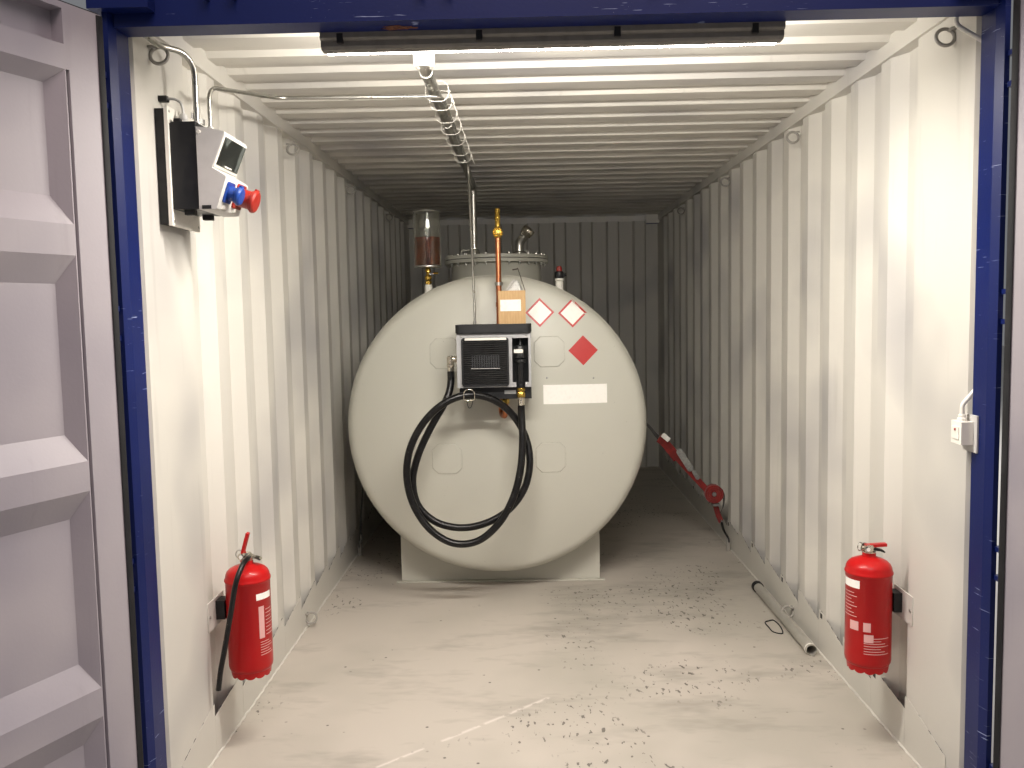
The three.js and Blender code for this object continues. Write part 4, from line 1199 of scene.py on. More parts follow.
class BuildManhole(bpy.types.Operator):
    """A neck with its flange, a gasket, the bolted cover and its bolts with nuts and washers."""

    bl_idname = "fuel_station.build_manhole"
    bl_label = "Build the manhole"

    def execute(self, context):
        paint = tank_topcoat()
        centre = np.array([MANHOLE_X, MANHOLE_Y, 0.0])
        neck = upright(centre, [(290, 1790), (300, 1790), (300, 1982), (304, 1988), (344, 1988), (346, 1990),
                                (346, 2009), (344, 2011), (290, 2011), (290, 1790)], 96)
        t = turns(160)
        x, y = MANHOLE_X + 302 * np.cos(t), MANHOLE_Y + 302 * np.sin(t)
        z = TANK_Z + np.sqrt(TANK_RADIUS**2 - (x - TANK_X) ** 2) + 1
        make("manhole_neck_skin", [(neck, paint), (bead(np.stack([x, y, z], -1), 5.5), paint)])
        cover = upright(
            centre, [(0, 2015.4), (344, 2015.4), (345, 2016.5), (345, 2036), (342, 2038), (0, 2038)], 96)
        gasket = upright(
            centre, [(296, 2011.3), (341, 2011.3), (341, 2015.1), (296, 2015.1), (296, 2011.3)], 96)
        parts = [(cover, paint), (gasket, seal_rubber())]
        for a in (0.5, 3.6):
            lug = np.array([MANHOLE_X + 215 * math.cos(a), MANHOLE_Y + 215 * math.sin(a), COVER_TOP])
            parts.append((tube(bent([lug + [-34, 0, 0], lug + [-34, 0, 42], lug + [34, 0, 42],
                                     lug + [34, 0, 0]], 14), 6, 12), paint))
        make("manhole_cover_skin", parts)
        self.bolts(centre)
        return {"FINISHED"}

    def bolts(self, centre):
        """Bolts evenly on a circle, heads above with a washer, nuts and thread ends below."""
        parts = []
        for angle in np.arange(COVER_BOLTS) * 2 * np.pi / COVER_BOLTS + 0.06:
            place = centre + [BOLT_CIRCLE * math.cos(angle), BOLT_CIRCLE * math.sin(angle), 0]
            parts.append((rod(place + [0, 0, 2038.2], place + [0, 0, 2041], 14, 20, 0.5), galvanised()))
            parts.append((bolt(place + [0, 0, 2041], (0, 0, 1), 11.5, 9), galvanised()))
            parts.append((bolt(place + [0, 0, 1987.6], (0, 0, -1), 11.5, 10), galvanised()))
            parts.append((rod(place + [0, 0, 1969], place + [0, 0, 1978], 6, 10, 1), galvanised()))
        make("manhole_bolts", parts)


class FitTankTop(bpy.types.Operator):
    """The leak detector's vessel with its valve, the overfill sensor, the filling elbow and the vent pipe."""

    bl_idname = "fuel_station.fit_tank_top"
    bl_label = "Fit the tank's fittings"

    def execute(self, context):
        self.vessel()
        self.sensor()
        self.fill_pipe()
        self.vent_pipe()
        return {"FINISHED"}

    def vessel(self):
        """A clear cylinder between two turned discs, held by a centre rod and half full of amber liquid."""
        base = np.array([-636.0, 2650.0, 0.0])
        glass = upright(base, [(72, 1936), (76, 1936), (76, 2236), (72, 2236), (72, 1936)], 64)
        liquid = upright(base, [(6.2, 1936.2), (71.7, 1936.2), (71.7, 2095), (6.2, 2095), (6.2, 1936.2)], 64)
        low = upright(base, [(0, 1925), (74, 1925), (78, 1928), (78, 1934), (75, 1935.8), (0, 1935.8)], 64)
        high = upright(base, [(0, 2236.2), (76, 2236.2), (78, 2238), (77, 2243), (70, 2245), (0, 2245)], 64)
        stay = rod(base + [0, 0, 1936], base + [0, 0, 2236], 6, 16, 0.5)
        make("leak_vessel_glass", [(glass, acrylic())], replaces=["leak_vessel"])
        make("leak_vessel_liquid", [(liquid, glycol())])
        make("leak_vessel_discs", [(low, aluminium()), (high, aluminium()), (stay, aluminium())])
        parts = [
            (upright(base, [(0, 1735), (22, 1735), (22, 1822), (20, 1829), (0, 1829)], 32), white_abs()),
            (upright(base, [(0, 1829.5), (15, 1829.5), (15, 1838), (10, 1842), (12, 1852), (19, 1860),
                            (21, 1868), (19, 1877), (12, 1884), (10, 1896), (16, 1900), (16, 1916),
                            (11, 1924.7), (0, 1924.7)], 28), brass()),
            (bolt(base + [0, 0, 1838], (0, 0, 1), 19, 12), brass()),
            (rod(base + [0, -26, 1868], base + [0, 22, 1868], 9, 16), brass()),
            (plate([(-632, 2642), (-578, 2642), (-570, 2650), (-578, 2658), (-632, 2658)], "z", 1886, 1891),
             galvanised()),
        ]
        parts.append((upright(
            base + [44, -4, 0], [(0, 1886), (13, 1887), (16, 1893), (13, 1899), (0, 1900)], 20), brass()))
        make("leak_vessel_valve_skin", parts)

    def sensor(self):
        """A white threaded stub, a black body with a side knob, and a red cap."""
        base = np.array([112.0, 2700.0, 0.0])
        white = upright(
            base, [(0, 1765), (22, 1765), (22, 1832), (19, 1836), (25, 1840), (25, 1852), (0, 1852)], 32)
        black = upright(
            base, [(0, 1852.3), (23, 1852.3), (27, 1858), (27, 1884), (24, 1890), (17, 1893), (0, 1893)], 32)
        knob = rod(base + [20, -4, 1868], base + [40, -8, 1872], 9, 20, 2)
        cap = upright(base, [(0, 1893.3), (16, 1893.3), (16.5, 1905), (14, 1919), (10, 1922), (0, 1922)], 28)
        make("overfill_sensor_skin",
             [(white, white_abs()), (black, black_abs()), (knob, black_abs()), (cap, red_nylon())])

    def fill_pipe(self):
        """A flanged socket, an elbow, and a cam-locked cap with its two levers and a chain ring."""
        base = np.array([-118.0, 3420.0, 0.0])
        flange = upright(base, [(0, 2038.3), (46, 2038.3), (46, 2052), (38, 2055), (34, 2063), (0, 2063)], 36)
        run = bent([base + [0, 0, 2058], base + [0, 0, 2116], base + [52, -24, 2182]], 54, 12)
        tip = unit(np.array([28.0, -13.0, 36.0]))
        start = base + [43, -19, 2170]
        collar = turned(
            start, tip, [(0, -6), (35, -6), (39, 0), (39, 10), (42, 15), (42, 38), (38, 45), (0, 46)], 36)
        parts = [(flange, galvanised()), (tube(run, 29, 28), galvanised()), (collar, nickel())]
        across = np.cross(tip, [0.0, 0.0, 1.0])
        across /= np.linalg.norm(across)
        for sign in (-1, 1):
            hinge = start + tip * 28 + across * 42 * sign
            parts.append((rod(hinge - tip * 5, hinge + tip * 5, 6, 14, 1), nickel()))
            lever = [hinge, hinge + across * 12 * sign - tip * 8, hinge + across * 15 * sign - tip * 34]
            parts.append((tube(flowing(lever, 12), 3.6, 10), nickel()))
        parts.append((loop(start + across * 57 - tip * 34, across * 9, tip * 9, 1.8, 20, 6), nickel()))
        make("fill_pipe_skin", parts)

    def vent_pipe(self):
        """A tube under the roof in a white sleeve, with its ties, a hanger and a socket on the cover."""
        line = bent([(-408, 640, 2550.7), (-408, 640, 2480), (-408, 3330, 2480), (-408, 3330, 2040)], 48, 10)
        parts = [(tube(line, 21, 24), galvanised())]
        parts.append((upright((-408, 640, 2478), [
            (22, 0), (33, 0), (36, 6), (36, 60), (33, 70), (22, 72), (22, 0)], 32), white_abs()))
        foot = [(22, 0), (36, 0), (36, 22), (30, 34), (22, 35), (22, 0)]
        parts.append((upright((-408, 3330, 2038.4), foot, 32), galvanised()))
        for y in (700, 1500, 2360):
            parts.append((rod((-408, y, 2501), (-408, y, 2549), 4, 12, 1), galvanised()))
            clamp = hoop(circle(24, 28) + [2480, -408], circle(21.3, 28) + [2480, -408], "y", y - 10, y + 10)
            parts.append((clamp, galvanised()))
        for y in (900, 1040, 1260, 1490, 1730, 1990, 2190):
            tie = rounded(74, 86, 30, 6, (2466, -392))
            inner = rounded(70, 82, 28, 6, (2466, -392))
            parts.append((hoop(tie, inner, "y", y - 2.6, y + 2.6), white_abs()))
            parts.append((slab((-352, y - 4, 2460), (-344, y + 4, 2467)), white_abs()))
            tail = flowing([(-348, y, 2463), (-340, y - 6, 2444), (-330, y - 4, 2420)], 8)
            parts.append((tube(tail, 1.6, 6), white_abs()))
        make("vent_pipe_skin", parts)


class BuildSuction(bpy.types.Operator):
    """The copper line down the front end with its brass head, ball valve and soldered elbows."""

    bl_idname = "fuel_station.build_suction"
    bl_label = "Build the suction line"

    def execute(self, context):
        line = bent([
            (-219, 2123, 2040), (-219, 2123, 1140), (-195, 2015, 1140), (-195, 2015, 1235.7)], 34, 10)
        parts = [(tube(line, 14, 24), copper())]
        for low, high, y, x in ((1178, 1206, 2123, -219), (1172, 1204, 2015, -195), (1690, 1716, 2123, -219)):
            parts.append((upright((x, y, low), [
                (14.2, 0), (16.4, 1), (16.4, high - low - 1), (14.2, high - low), (14.2, 0)], 28), copper()))
        parts.append((bolt((-195, 2015, 1206), (0, 0, 1), 21, 26), brass()))
        parts.append((upright((-219, 2123, 1800), [(14.2, 0), (22, 0), (22, 16), (14.2, 16), (14.2, 0)], 24),
                      galvanised()))
        parts.append((rod((-219, 2128, 1808), (-219, 2252, 1808), 5, 12), galvanised()))
        make("suction_line_skin", parts)
        base = np.array([-219.0, 2123.0, 0.0])
        valve = [
            (upright(base, [(0, 2040.3), (19, 2040.3), (19, 2054), (16, 2057), (22, 2062), (22, 2072),
                            (16, 2078), (18, 2082), (18, 2092), (13, 2096), (13, 2130), (15, 2133),
                            (15, 2146), (13, 2149), (13, 2182), (11, 2188), (0, 2188)], 32), brass()),
            (bolt(base + [0, 0, 2042], (0, 0, 1), 21, 13), brass()),
            (turned(base + [0, -26, 2066], (0, 1, 0), [(0, 0), (20, 0), (26, 5), (26, 9), (18, 14), (18, 38),
                                                       (26, 43), (26, 47), (20, 52), (0, 52)], 32), brass()),
            (loop(base + [0, -27, 2066], (22, 0, 0), (0, 0, 22), 3, 32, 8), brass()),
        ]
        make("suction_valve_skin", valve)
        return {"FINISHED"}


# Dispenser and its hose

HOSE_ROUTE = [
    (-463, 1990, 1374.7), (-463, 1990, 1328), (-472, 1975, 1274), (-498, 1950, 1212), (-532, 1930, 1155),
    (-566, 1917, 1096), (-627, 1902, 966), (-656, 1895, 838), (-632, 1892, 721), (-546, 1890, 637),
    (-421, 1890, 606), (-293, 1892, 629), (-181, 1902, 694), (-103, 1914, 800), (-77, 1936, 929),
    (-99, 1958, 1051), (-161, 1948, 1160), (-254, 1910, 1238), (-364, 1880, 1265), (-476, 1860, 1235),
    (-586, 1855, 1140), (-660, 1851, 1004), (-677, 1849, 858), (-643, 1847, 721), (-566, 1846, 607),
    (-460, 1846, 541), (-347, 1848, 546), (-244, 1852, 622), (-169, 1860, 741), (-126, 1880, 880),
    (-111, 1906, 1031), (-114, 1927, 1168), (-114, 1927, 1204.7),
]
LEFT_ROUTE = [
    (-1054, 591.7, 836), (-1054, 576, 836), (-1056, 545, 830), (-1060, 518, 812), (-1066, 500, 786),
    (-1073, 493, 754), (-1083, 491, 700), (-1098, 489, 626), (-1115, 488, 545), (-1131, 489, 475),
    (-1141, 490, 412),
]
RIGHT_ROUTE = [
    (1073, 610.3, 838), (1073, 624, 838), (1078, 655, 831), (1087, 682, 813), (1098, 700, 787),
    (1109, 707, 752), (1119, 706, 695), (1126, 703, 610), (1127, 701, 510), (1126, 700, 410),
]


def free_hose(node, route, radius, count):
    """A rubber hose along its route."""
    path = flowing(route, count)
    shape = tube(path, radius, 20)
    way = way_along(path)
    hose = make(f"{node}_skin", [(shape, rubber())], run=np.repeat(way, 20), soft=60)
    return hose


class LayHoses(bpy.types.Operator):
    """The delivery hose in two loops with its swivel coupling, and the short hoses of the extinguishers."""

    bl_idname = "fuel_station.lay_hoses"
    bl_label = "Lay the hoses"

    def execute(self, context):
        end = np.array([-114.0, 1927.0, 0.0])
        ferrule = [(0, 1205), (15.6, 1205), (17, 1207)]
        for z in (1213, 1223, 1233):
            ferrule += [(17, z - 2), (16, z), (16, z + 3), (17, z + 5)]
        ferrule += [(17, 1244), (15, 1246), (0, 1246)]
        parts = [
            (upright(end, ferrule, 32), nickel()),
            (bolt(end + [0, 0, 1246], (0, 0, 1), 20.5, 26), brass()),
            (upright(end, [(0, 1272), (17, 1272), (17, 1276), (20, 1278), (20, 1290), (17, 1293), (0, 1293)],
                     32), brass()),
            (upright(end, [(0, 1293), (18, 1293), (20, 1296), (20, 1308), (17, 1311.5), (0, 1311.5)], 32),
             black_abs()),
        ]
        coupling = make("hose_coupling_skin", parts, bevel=0.6)
        free_hose("delivery_hose", HOSE_ROUTE, 18, 480)
        free_hose("left_extinguisher_hose", LEFT_ROUTE, 9, 120)
        free_hose("right_extinguisher_hose", RIGHT_ROUTE, 9, 120)
        return {"FINISHED"}


def window(x0, x1, z0, z1, wide, y0, y1, radius):
    """A frame with round corners that looks along Y, of a given bar width."""
    outer = rounded(z1 - z0, x1 - x0, radius, 5, ((z0 + z1) / 2, (x0 + x1) / 2))
    inner = rounded(
        z1 - z0 - 2 * wide, x1 - x0 - 2 * wide, max(radius - wide, 1), 5, ((z0 + z1) / 2, (x0 + x1) / 2))
    return hoop(outer, inner, "y", y0, y1)


class BuildDispenser(bpy.types.Operator):
    """A sheet-steel case with a louvred grille, a moulded cover
    and base, the holster, the hook and the outlet."""

    bl_idname = "fuel_station.build_dispenser"
    bl_label = "Build the dispenser"

    def execute(self, context):
        self.case()
        self.grille()
        self.outlet()
        self.nozzle()
        dress(tank_topcoat(), "dispenser_bracket")
        return {"FINISHED"}

    def case(self):
        """The case with its holster slot between two cheeks, the cover over it and the base under it."""
        body = [(-425, 1912), (-154, 1912), (-154, 1996), (-74, 1996), (-74, 1912), (-62, 1912), (-62, 2100),
                (-425, 2100)]
        liner = [(-153.6, 1914), (-151.4, 1914), (-151.4, 1993.2), (-76.6, 1993.2), (-76.6, 1914),
                 (-74.4, 1914), (-74.4, 1995.6), (-153.6, 1995.6)]
        cover = rounded(371, 206, 24, 7, (-243.5, 1997))
        lip = rounded(363, 198, 21, 7, (-243.5, 1997))
        base = rounded(357, 148, 8, 4, (-240.5, 2026))
        parts = [
            (plate(body, "z", 1297, 1560), silver_powder()),
            (plate(liner, "z", 1300, 1558), black_abs()),
            (plate(lip, "z", 1560.2, 1572), black_abs()),
            (plate(cover, "z", 1566, 1606), black_abs()),
            (plate(base, "z", 1236, 1296.6), black_abs()),
            (panel(-196, -139, 1260, 1279, 1950.6, 1952.4, 2), aluminium()),
            (slab((-153.8, 1912, 1537), (-74.2, 1916, 1559.8)), silver_powder()),
            (slab((-153.8, 1912, 1297.2), (-136, 1916, 1321)), silver_powder()),
            (slab((-92, 1912, 1297.2), (-74.2, 1916, 1321)), silver_powder()),
        ]
        for x in (-400, -84):
            for z in (1312, 1548):
                parts.append((turned((x, 1912.3, z), (0, -1, 0),
                                     [(0, 0), (4, 0), (4, 1.2), (2.5, 2.4), (0, 2.6)], 16), galvanised()))
        make("dispenser_case", parts, bevel=3.0, segments=3, replaces=["dispenser"])

    def grille(self):
        """A rim, louvre bars across it, a block of upright ribs in the middle and a white strip on top, its
        white a painted highlight along the grille's top edge.
        """
        parts = [
            (window(-402, -170, 1303, 1542, 9, 1901, 1911.7, 15), black_abs()),
            (panel(-396, -176, 1310, 1536, 1909.4, 1911.6, 2), black_nylon()),
            # A white strip along the grille's top: its white a painted highlight.
            (panel(-384, -181, 1529, 1541, 1899.6, 1903.4, 2), white_abs()),
        ]
        for k in range(21):
            z = 1316 + 10.2 * k
            blade = slab((-394.5, 1903, z - 3.2), (-177.5, 1909.6, z + 3.2))
            parts.append((moved(blade, (0, 0, 0), spin("X", 0.45), (0, 1906, z)), black_abs()))
        for k in range(12):
            x = -348 + 11.6 * k
            parts.append((panel(x - 3.2, x + 3.2, 1395, 1457, 1900.6, 1909, 2.4, 3), charcoal_abs()))
        parts.append((panel(-356, -213, 1390, 1392.6, 1901, 1904, 1), grey_abs()))
        make("dispenser_grille_skin", parts, bevel=0.7)

    def outlet(self):
        """The cast elbow that the hose hangs from, its nuts, and the chromed hook that a loop rests in."""
        parts = [
            (bolt((-425.4, 1990, 1435), (-1, 0, 0), 20, 14), nickel()),
            (rod((-438, 1990, 1435), (-463, 1990, 1435), 15, 28, 2), nickel()),
            (upright((-463, 1990, 1435), [(0, 18), (12, 17), (18, 11), (18, -20), (16, -24), (0, -24)], 32),
             nickel()),
            (bolt((-463, 1990, 1411), (0, 0, -1), 20, 15), nickel()),
            (rod((-463, 1990, 1397), (-463, 1990, 1375), 17, 28, 2), nickel()),
        ]
        make("hose_outlet_skin", parts, bevel=0.8)
        # The chromed hook: a D-shaped wire in front of the hose, two arms back to the base, a loop that hangs
        arch = [(-365 + 26 * math.cos(t), 1856, 1270 + 25 * math.sin(t)) for t in np.linspace(0, math.pi, 13)]
        legs = [(-391, 1856, 1246), (-385, 1856, 1241), (-345, 1856, 1241), (-339, 1856, 1246)]
        hook = [(carried(arch + legs, circle(2.6, 10), True), nickel())]
        for x in (-391, -339):
            arm = bent([(x, 1856, 1243), (x, 1880, 1241), (x, 1951.8, 1243)], 12)
            hook.append((tube(arm, 2.4, 10), nickel()))
            hook.append((rod((x, 1951.8, 1243), (x, 1947, 1243), 7, 16), nickel()))
        drop = flowing([(-376, 1856, 1238), (-374, 1854, 1220), (-366, 1853, 1205), (-359, 1853, 1206),
                        (-352, 1854, 1220), (-348, 1856, 1238)], 30)
        hook.append((tube(drop, 2.2, 10), black_nylon()))
        make("hose_hook", hook)

    def nozzle(self):
        """A cast body in a moulded grip, the lever inside its guard, a disc collar and the spout."""
        grip = [(-114, 1927, 1312), (-114, 1927, 1340), (-114, 1926, 1380), (-114, 1925, 1420)]
        guard = bent([(-114, 1912, 1448), (-114, 1868, 1430), (-114, 1872, 1336), (-114, 1912, 1322)], 18)
        lever = bent([(-114, 1908, 1432), (-114, 1892, 1420), (-114, 1893, 1350)], 14)
        crown = rounded(50, 68, 20, 6, (-115, 1936))
        top = rounded(40, 56, 16, 6, (-115, 1936))
        body = np.concatenate([plate(crown, "z", 1440, 1486)[0], plate(top, "z", 1500, 1500)[0][: len(top)]])
        n = len(crown)
        ring = np.arange(n)
        faces = [woven(3, n, False, True), ring[None, ::-1], ring[None] + 2 * n]
        spout = flowing([(-114, 1960, 1490), (-114, 1964, 1515), (-114, 1966, 1540), (-114, 1964, 1556)], 16)
        parts = [
            (carried(flowing(grip, 14), rounded(33, 38, 14, 5)), black_abs()),
            (upright((-114, 1925, 1414), [(0, 0), (22, 0), (26, 4), (26, 15), (23, 19), (0, 19)], 36),
             black_abs()),
            ((body, faces), black_abs()),
            # A white plate on the crown: its white is a painted highlight, for the sheen of a bright
            # aluminium plate.
            (panel(-145, -101, 1464, 1482, 1900.4, 1902.6, 1.5), white_abs()),
            (carried(guard, rounded(5, 14, 2.4, 3)), black_abs()),
            (carried(lever, rounded(4, 16, 1.9, 3)), aluminium()),
            (tube(spout, 11, 24), black_abs()),
        ]
        make("nozzle_skin", parts, bevel=1.2)


# Electrics


def leaning(a, b, lift, thick, y0, y1):
    """A plate along the line between two places of a side view (Z, X), lifted off it and carried along Y."""
    a, b = np.asarray(a, float), np.asarray(b, float)
    ahead = (b - a) / np.linalg.norm(b - a)
    out = np.array([-ahead[1], ahead[0]]) if ahead[0] > 0 else np.array([ahead[1], -ahead[0]])
    outline = [a + out * lift, b + out * lift, b + out * (lift + thick), a + out * (lift + thick)]
    return plate(outline, "y", y0, y1)


class FitElectrics(bpy.types.Operator):
    """The board with its sockets box and window, conduits with their clips, the lamp and the switch."""

    bl_idname = "fuel_station.fit_electrics"
    bl_label = "Fit the electrics"

    def execute(self, context):
        self.board()
        self.sockets_box()
        self.conduits()
        self.lamp()
        self.switch()
        return {"FINISHED"}

    def board(self):
        """A black spacer on the wall, its black a painted shadow of the board on the wall, with a white board
        on it, held by four screws.
        """
        parts = [
            # The spacer's black is the painted shadow that the board casts on the wall.
            (slab((-1175.7, 292, 1944), (-1146, 498, 2284)), black_nylon()),
            (slab((-1145.8, 285, 1938), (-1134.2, 505, 2290)), white_abs()),
        ]
        for y in (298, 492):
            for z in (1952, 2276):
                parts.append((
                    turned((-1134.3, y, z), (1, 0, 0), [(0, 0), (5, 0), (4, 2), (0, 2.6)], 16), galvanised()))
        make("distribution_board_skin", parts, bevel=1.5)

    def sockets_box(self):
        """A black rear shell, a grey front with a leaning window
        over a face that leans in, and two sockets."""
        rear = [(1987, -1133.8), (2240, -1133.8), (2244, -1126), (2244, -1056.5), (1987, -1056.5)]
        front = [(1985, -1055), (2228, -1055), (2225, -1020), (2212, -970), (2205, -970), (2108, -1011),
                 (2082, -971), (2076, -971), (1988, -1002), (1985, -1006)]
        parts = [
            (plate(rear, "y", 294, 496), black_abs()),
            (plate(front, "y", 292, 498), grey_abs()),
            (leaning((2113, -1009), (2206, -970.4), 0.2, 3, 294, 496), white_abs()),
            (leaning((2120, -1006), (2200, -972.8), 2.6, 3.4, 303, 487), smoked_window()),
            (leaning((2122, -1005), (2126, -1003.4), 6.0, 4, 366, 420), white_abs()),
            (rod((-1046, 291.8, 2212), (-1046, 288, 2212), 6, 20), white_abs()),
            (slab((-1046, 289.4, 1986), (-1018, 292, 1997)), black_nylon()),
            (slab((-1124, 300, 2244), (-1104, 318, 2255)), black_nylon()),
        ]
        for y in (328, 420):
            parts.append((slab((-1003, y, 1989), (-991, y + 16, 2001)), white_abs()))
        for y in (312, 458):
            parts.append((slab((-1108, y, 1972), (-1078, y + 24, 1987)), black_nylon()))
        parts += self.socket(346, 26, 45, blue_nylon()) + self.socket(440, 33, 62, red_nylon())
        gland = [(0, 0), (15, 0), (15, 9), (12, 11), (13.5, 13), (13.5, 24), (9, 32), (0, 32)]
        lead = flowing([(-1108, 340, 2272), (-1109, 340, 2292), (-1115, 339, 2310), (-1130, 337, 2319),
                        (-1152, 335, 2321), (-1174, 334, 2321)], 30)
        parts += [(upright((-1108, 340, 2244.2), gland, 20), grey_abs()), (tube(lead, 4, 14), grey_abs()),
                  (slab((-1175.6, 322, 2312), (-1150, 346, 2328)), black_nylon())]
        make("distribution_box_skin", parts, bevel=1.8)

    def socket(self, y, radius, out, look):
        """A square flange on the face that leans in, a round body and its spring lid with the lug on top."""
        ahead, above = np.array([0.949, 0.0, -0.314]), np.array([0.314, 0.0, 0.949])
        foot = np.array([-985.0, y, 2040.0])
        wide = 2 * radius + 12
        lid = [(0, 0), (radius, 0), (radius + 3, 3), (radius + 3, 10), (radius - 2, 15), (0, 17)]
        barrel = [(0, 0), (radius - 4, 0), (radius - 4, out - 26), (radius - 1, out - 24),
                  (radius - 1, out - 16), (0, out - 16)]
        lug = foot + ahead * (out - 9) + above * (radius + 2)
        return [
            (moved(plate(rounded(wide, wide, 8, 4), "x", 0, 6), foot,
                   np.stack([ahead, [0, 1, 0], above], -1)), look),
            (turned(foot + ahead * 5, ahead, barrel, 40), look),
            (turned(foot + ahead * (out - 15.5), ahead, lid, 40), look),
            (rod(lug - [0, 13, 0], lug + [0, 13, 0], 4.5, 16), look),
        ]

    def conduits(self):
        """Two zinc-plated tubes from the box, one to the header and one to the dispenser, and their clips."""
        supply = bent([
            (-1075, 360, 2244.3), (-1075, 360, 2456), (-1140, 270, 2456), (-1140, 130.3, 2456)], 60, 10)
        feed = bent([(-1063, 440, 2244.3), (-1063, 440, 2380), (-960, 860, 2445), (-372, 890, 2445),
                     (-372, 2300, 2445), (-341, 2048, 1680), (-341, 2048, 1606.3)], 50, 10)
        sleeves = [((-1075, 360, 2244.4), 9), ((-1063, 440, 2244.4), 6.5)]
        parts = [
            (tube(supply, 9, 24), galvanised()), (slab((-1087, 346, 2266), (-1084.3, 456, 2282)), grey_abs())]
        for place, radius in sleeves:
            ring = [
                (radius + 0.1, 0), (radius + 4, 0), (radius + 4, 12), (radius + 0.1, 14), (radius + 0.1, 0)]
            parts.append((upright(place, ring, 24), grey_abs()))
        make("supply_conduit_skin", parts)
        parts = [(tube(feed, 6.5, 24), galvanised())]
        ring = [(6.6, -8), (8.6, -8), (8.6, 8), (6.6, 8), (6.6, -8)]
        for place, ahead in (((-700, 875, 2445), (1, 0.05, 0)), ((-341, 2048, 1616), (0, 0, 1))):
            parts.append((turned(place, ahead, ring, 24), galvanised()))
        make("dispenser_conduit_skin", parts)

    def lamp(self):
        """A moulded housing under the header, the opal cover on its
        inner side that glows, and sprung clips."""
        housing = [
            (131, 2424), (131, 2478), (139, 2486), (214, 2486), (221.5, 2478), (221.5, 2446), (190, 2446),
            (188, 2400), (184, 2396.4), (150, 2396.4), (143, 2404), (143, 2419), (136, 2419.6)]
        cover = [(190.4, 2445.6), (188.5, 2400), (192, 2396.6), (203, 2396.6), (211, 2404), (213, 2424),
                 (220, 2445.6)]
        parts = [
            (plate(housing, "x", -640, 640), lamp_housing()),
            (plate(cover, "x", -631, 631), opal_diffuser()),
        ]
        for x in (-584, -199, 181, 558):
            for y0, y1 in ((130.4, 141), (216.6, 222.4)):
                parts.append((slab((x - 9, y0, 2409), (x + 9, y1, 2436)), black_nylon()))
        make("lamp_skin", parts, bevel=1.5)

    def switch(self):
        """A white box with a rocker on a base plate, its cable
        gland and the white conduit up to the header."""
        route = bent([(1147, 141, 1329), (1147, 141, 1375), (1190, 141, 1425), (1190, 141, 2370),
                      (1106, 141, 2420), (1106, 141, 2472.7)], 22)
        parts = [
            (slab((1164, 92, 1243), (1169.7, 168, 1348)), grey_abs()),
            (slab((1130, 110, 1264), (1164.6, 169, 1329)), white_abs()),
            (slab((1127.2, 121, 1278), (1130.4, 158, 1315)), white_abs()),
            (slab((1125.6, 135, 1302), (1127.4, 144, 1309)), red_nylon()),
            (upright((1147, 141, 1329.2), [(0, 0), (13, 0), (13, 8), (10, 10), (10, 18), (0, 18)], 16),
             white_abs()),
            (tube(route, 6.5, 16), white_abs()),
        ]
        for z in (1520, 1800, 2080, 2330):
            parts.append((upright((1190, 141, z), [(6.6, -6), (9.5, -6), (9.5, 6), (6.6, 6), (6.6, -6)], 20),
                          white_abs()))
        make("light_switch_skin", parts, bevel=2.0)


# Loose equipment


def sleeve(x, y, radius, lift, z0, z1, start, end, steps=24):
    """A thin label round an upright cylinder between two angles: inner and outer arcs, joined at the rim."""
    t = np.linspace(start, end, steps)
    arc = np.stack([np.cos(t), np.sin(t)], -1)
    outline = np.concatenate([arc * (radius + lift), arc[::-1] * (radius + 0.15)]) + [x, y]
    return plate(outline, "z", z0, z1)


EXTINGUISHERS = {
    "left": {"x": -1066, "y": 610, "plate": (513, 664), "hose": (12, -1, 836),
             "lever": [(-14, 24), (8, 98)],
             "patches": [(697, 719, -52, -2), (562, 674, -47, -31)],
             "lines": [(570, 670, 12.5, -26, 9), (503, 553, 9, -45, 0)]},
    "right": {"x": 1069, "y": 592, "plate": (489, 635), "hose": (4, 1, 838),
              "lever": [(-14, 27), (57, 30)],
              "patches": [(714, 741, -189, -133), (570, 601, -160, -135), (570, 601, -123, -105),
                          (534, 561, -121, -98)],
              "lines": [(615, 696, 11.5, -185, -140), (493, 552, 9, -121, -54)]},
}


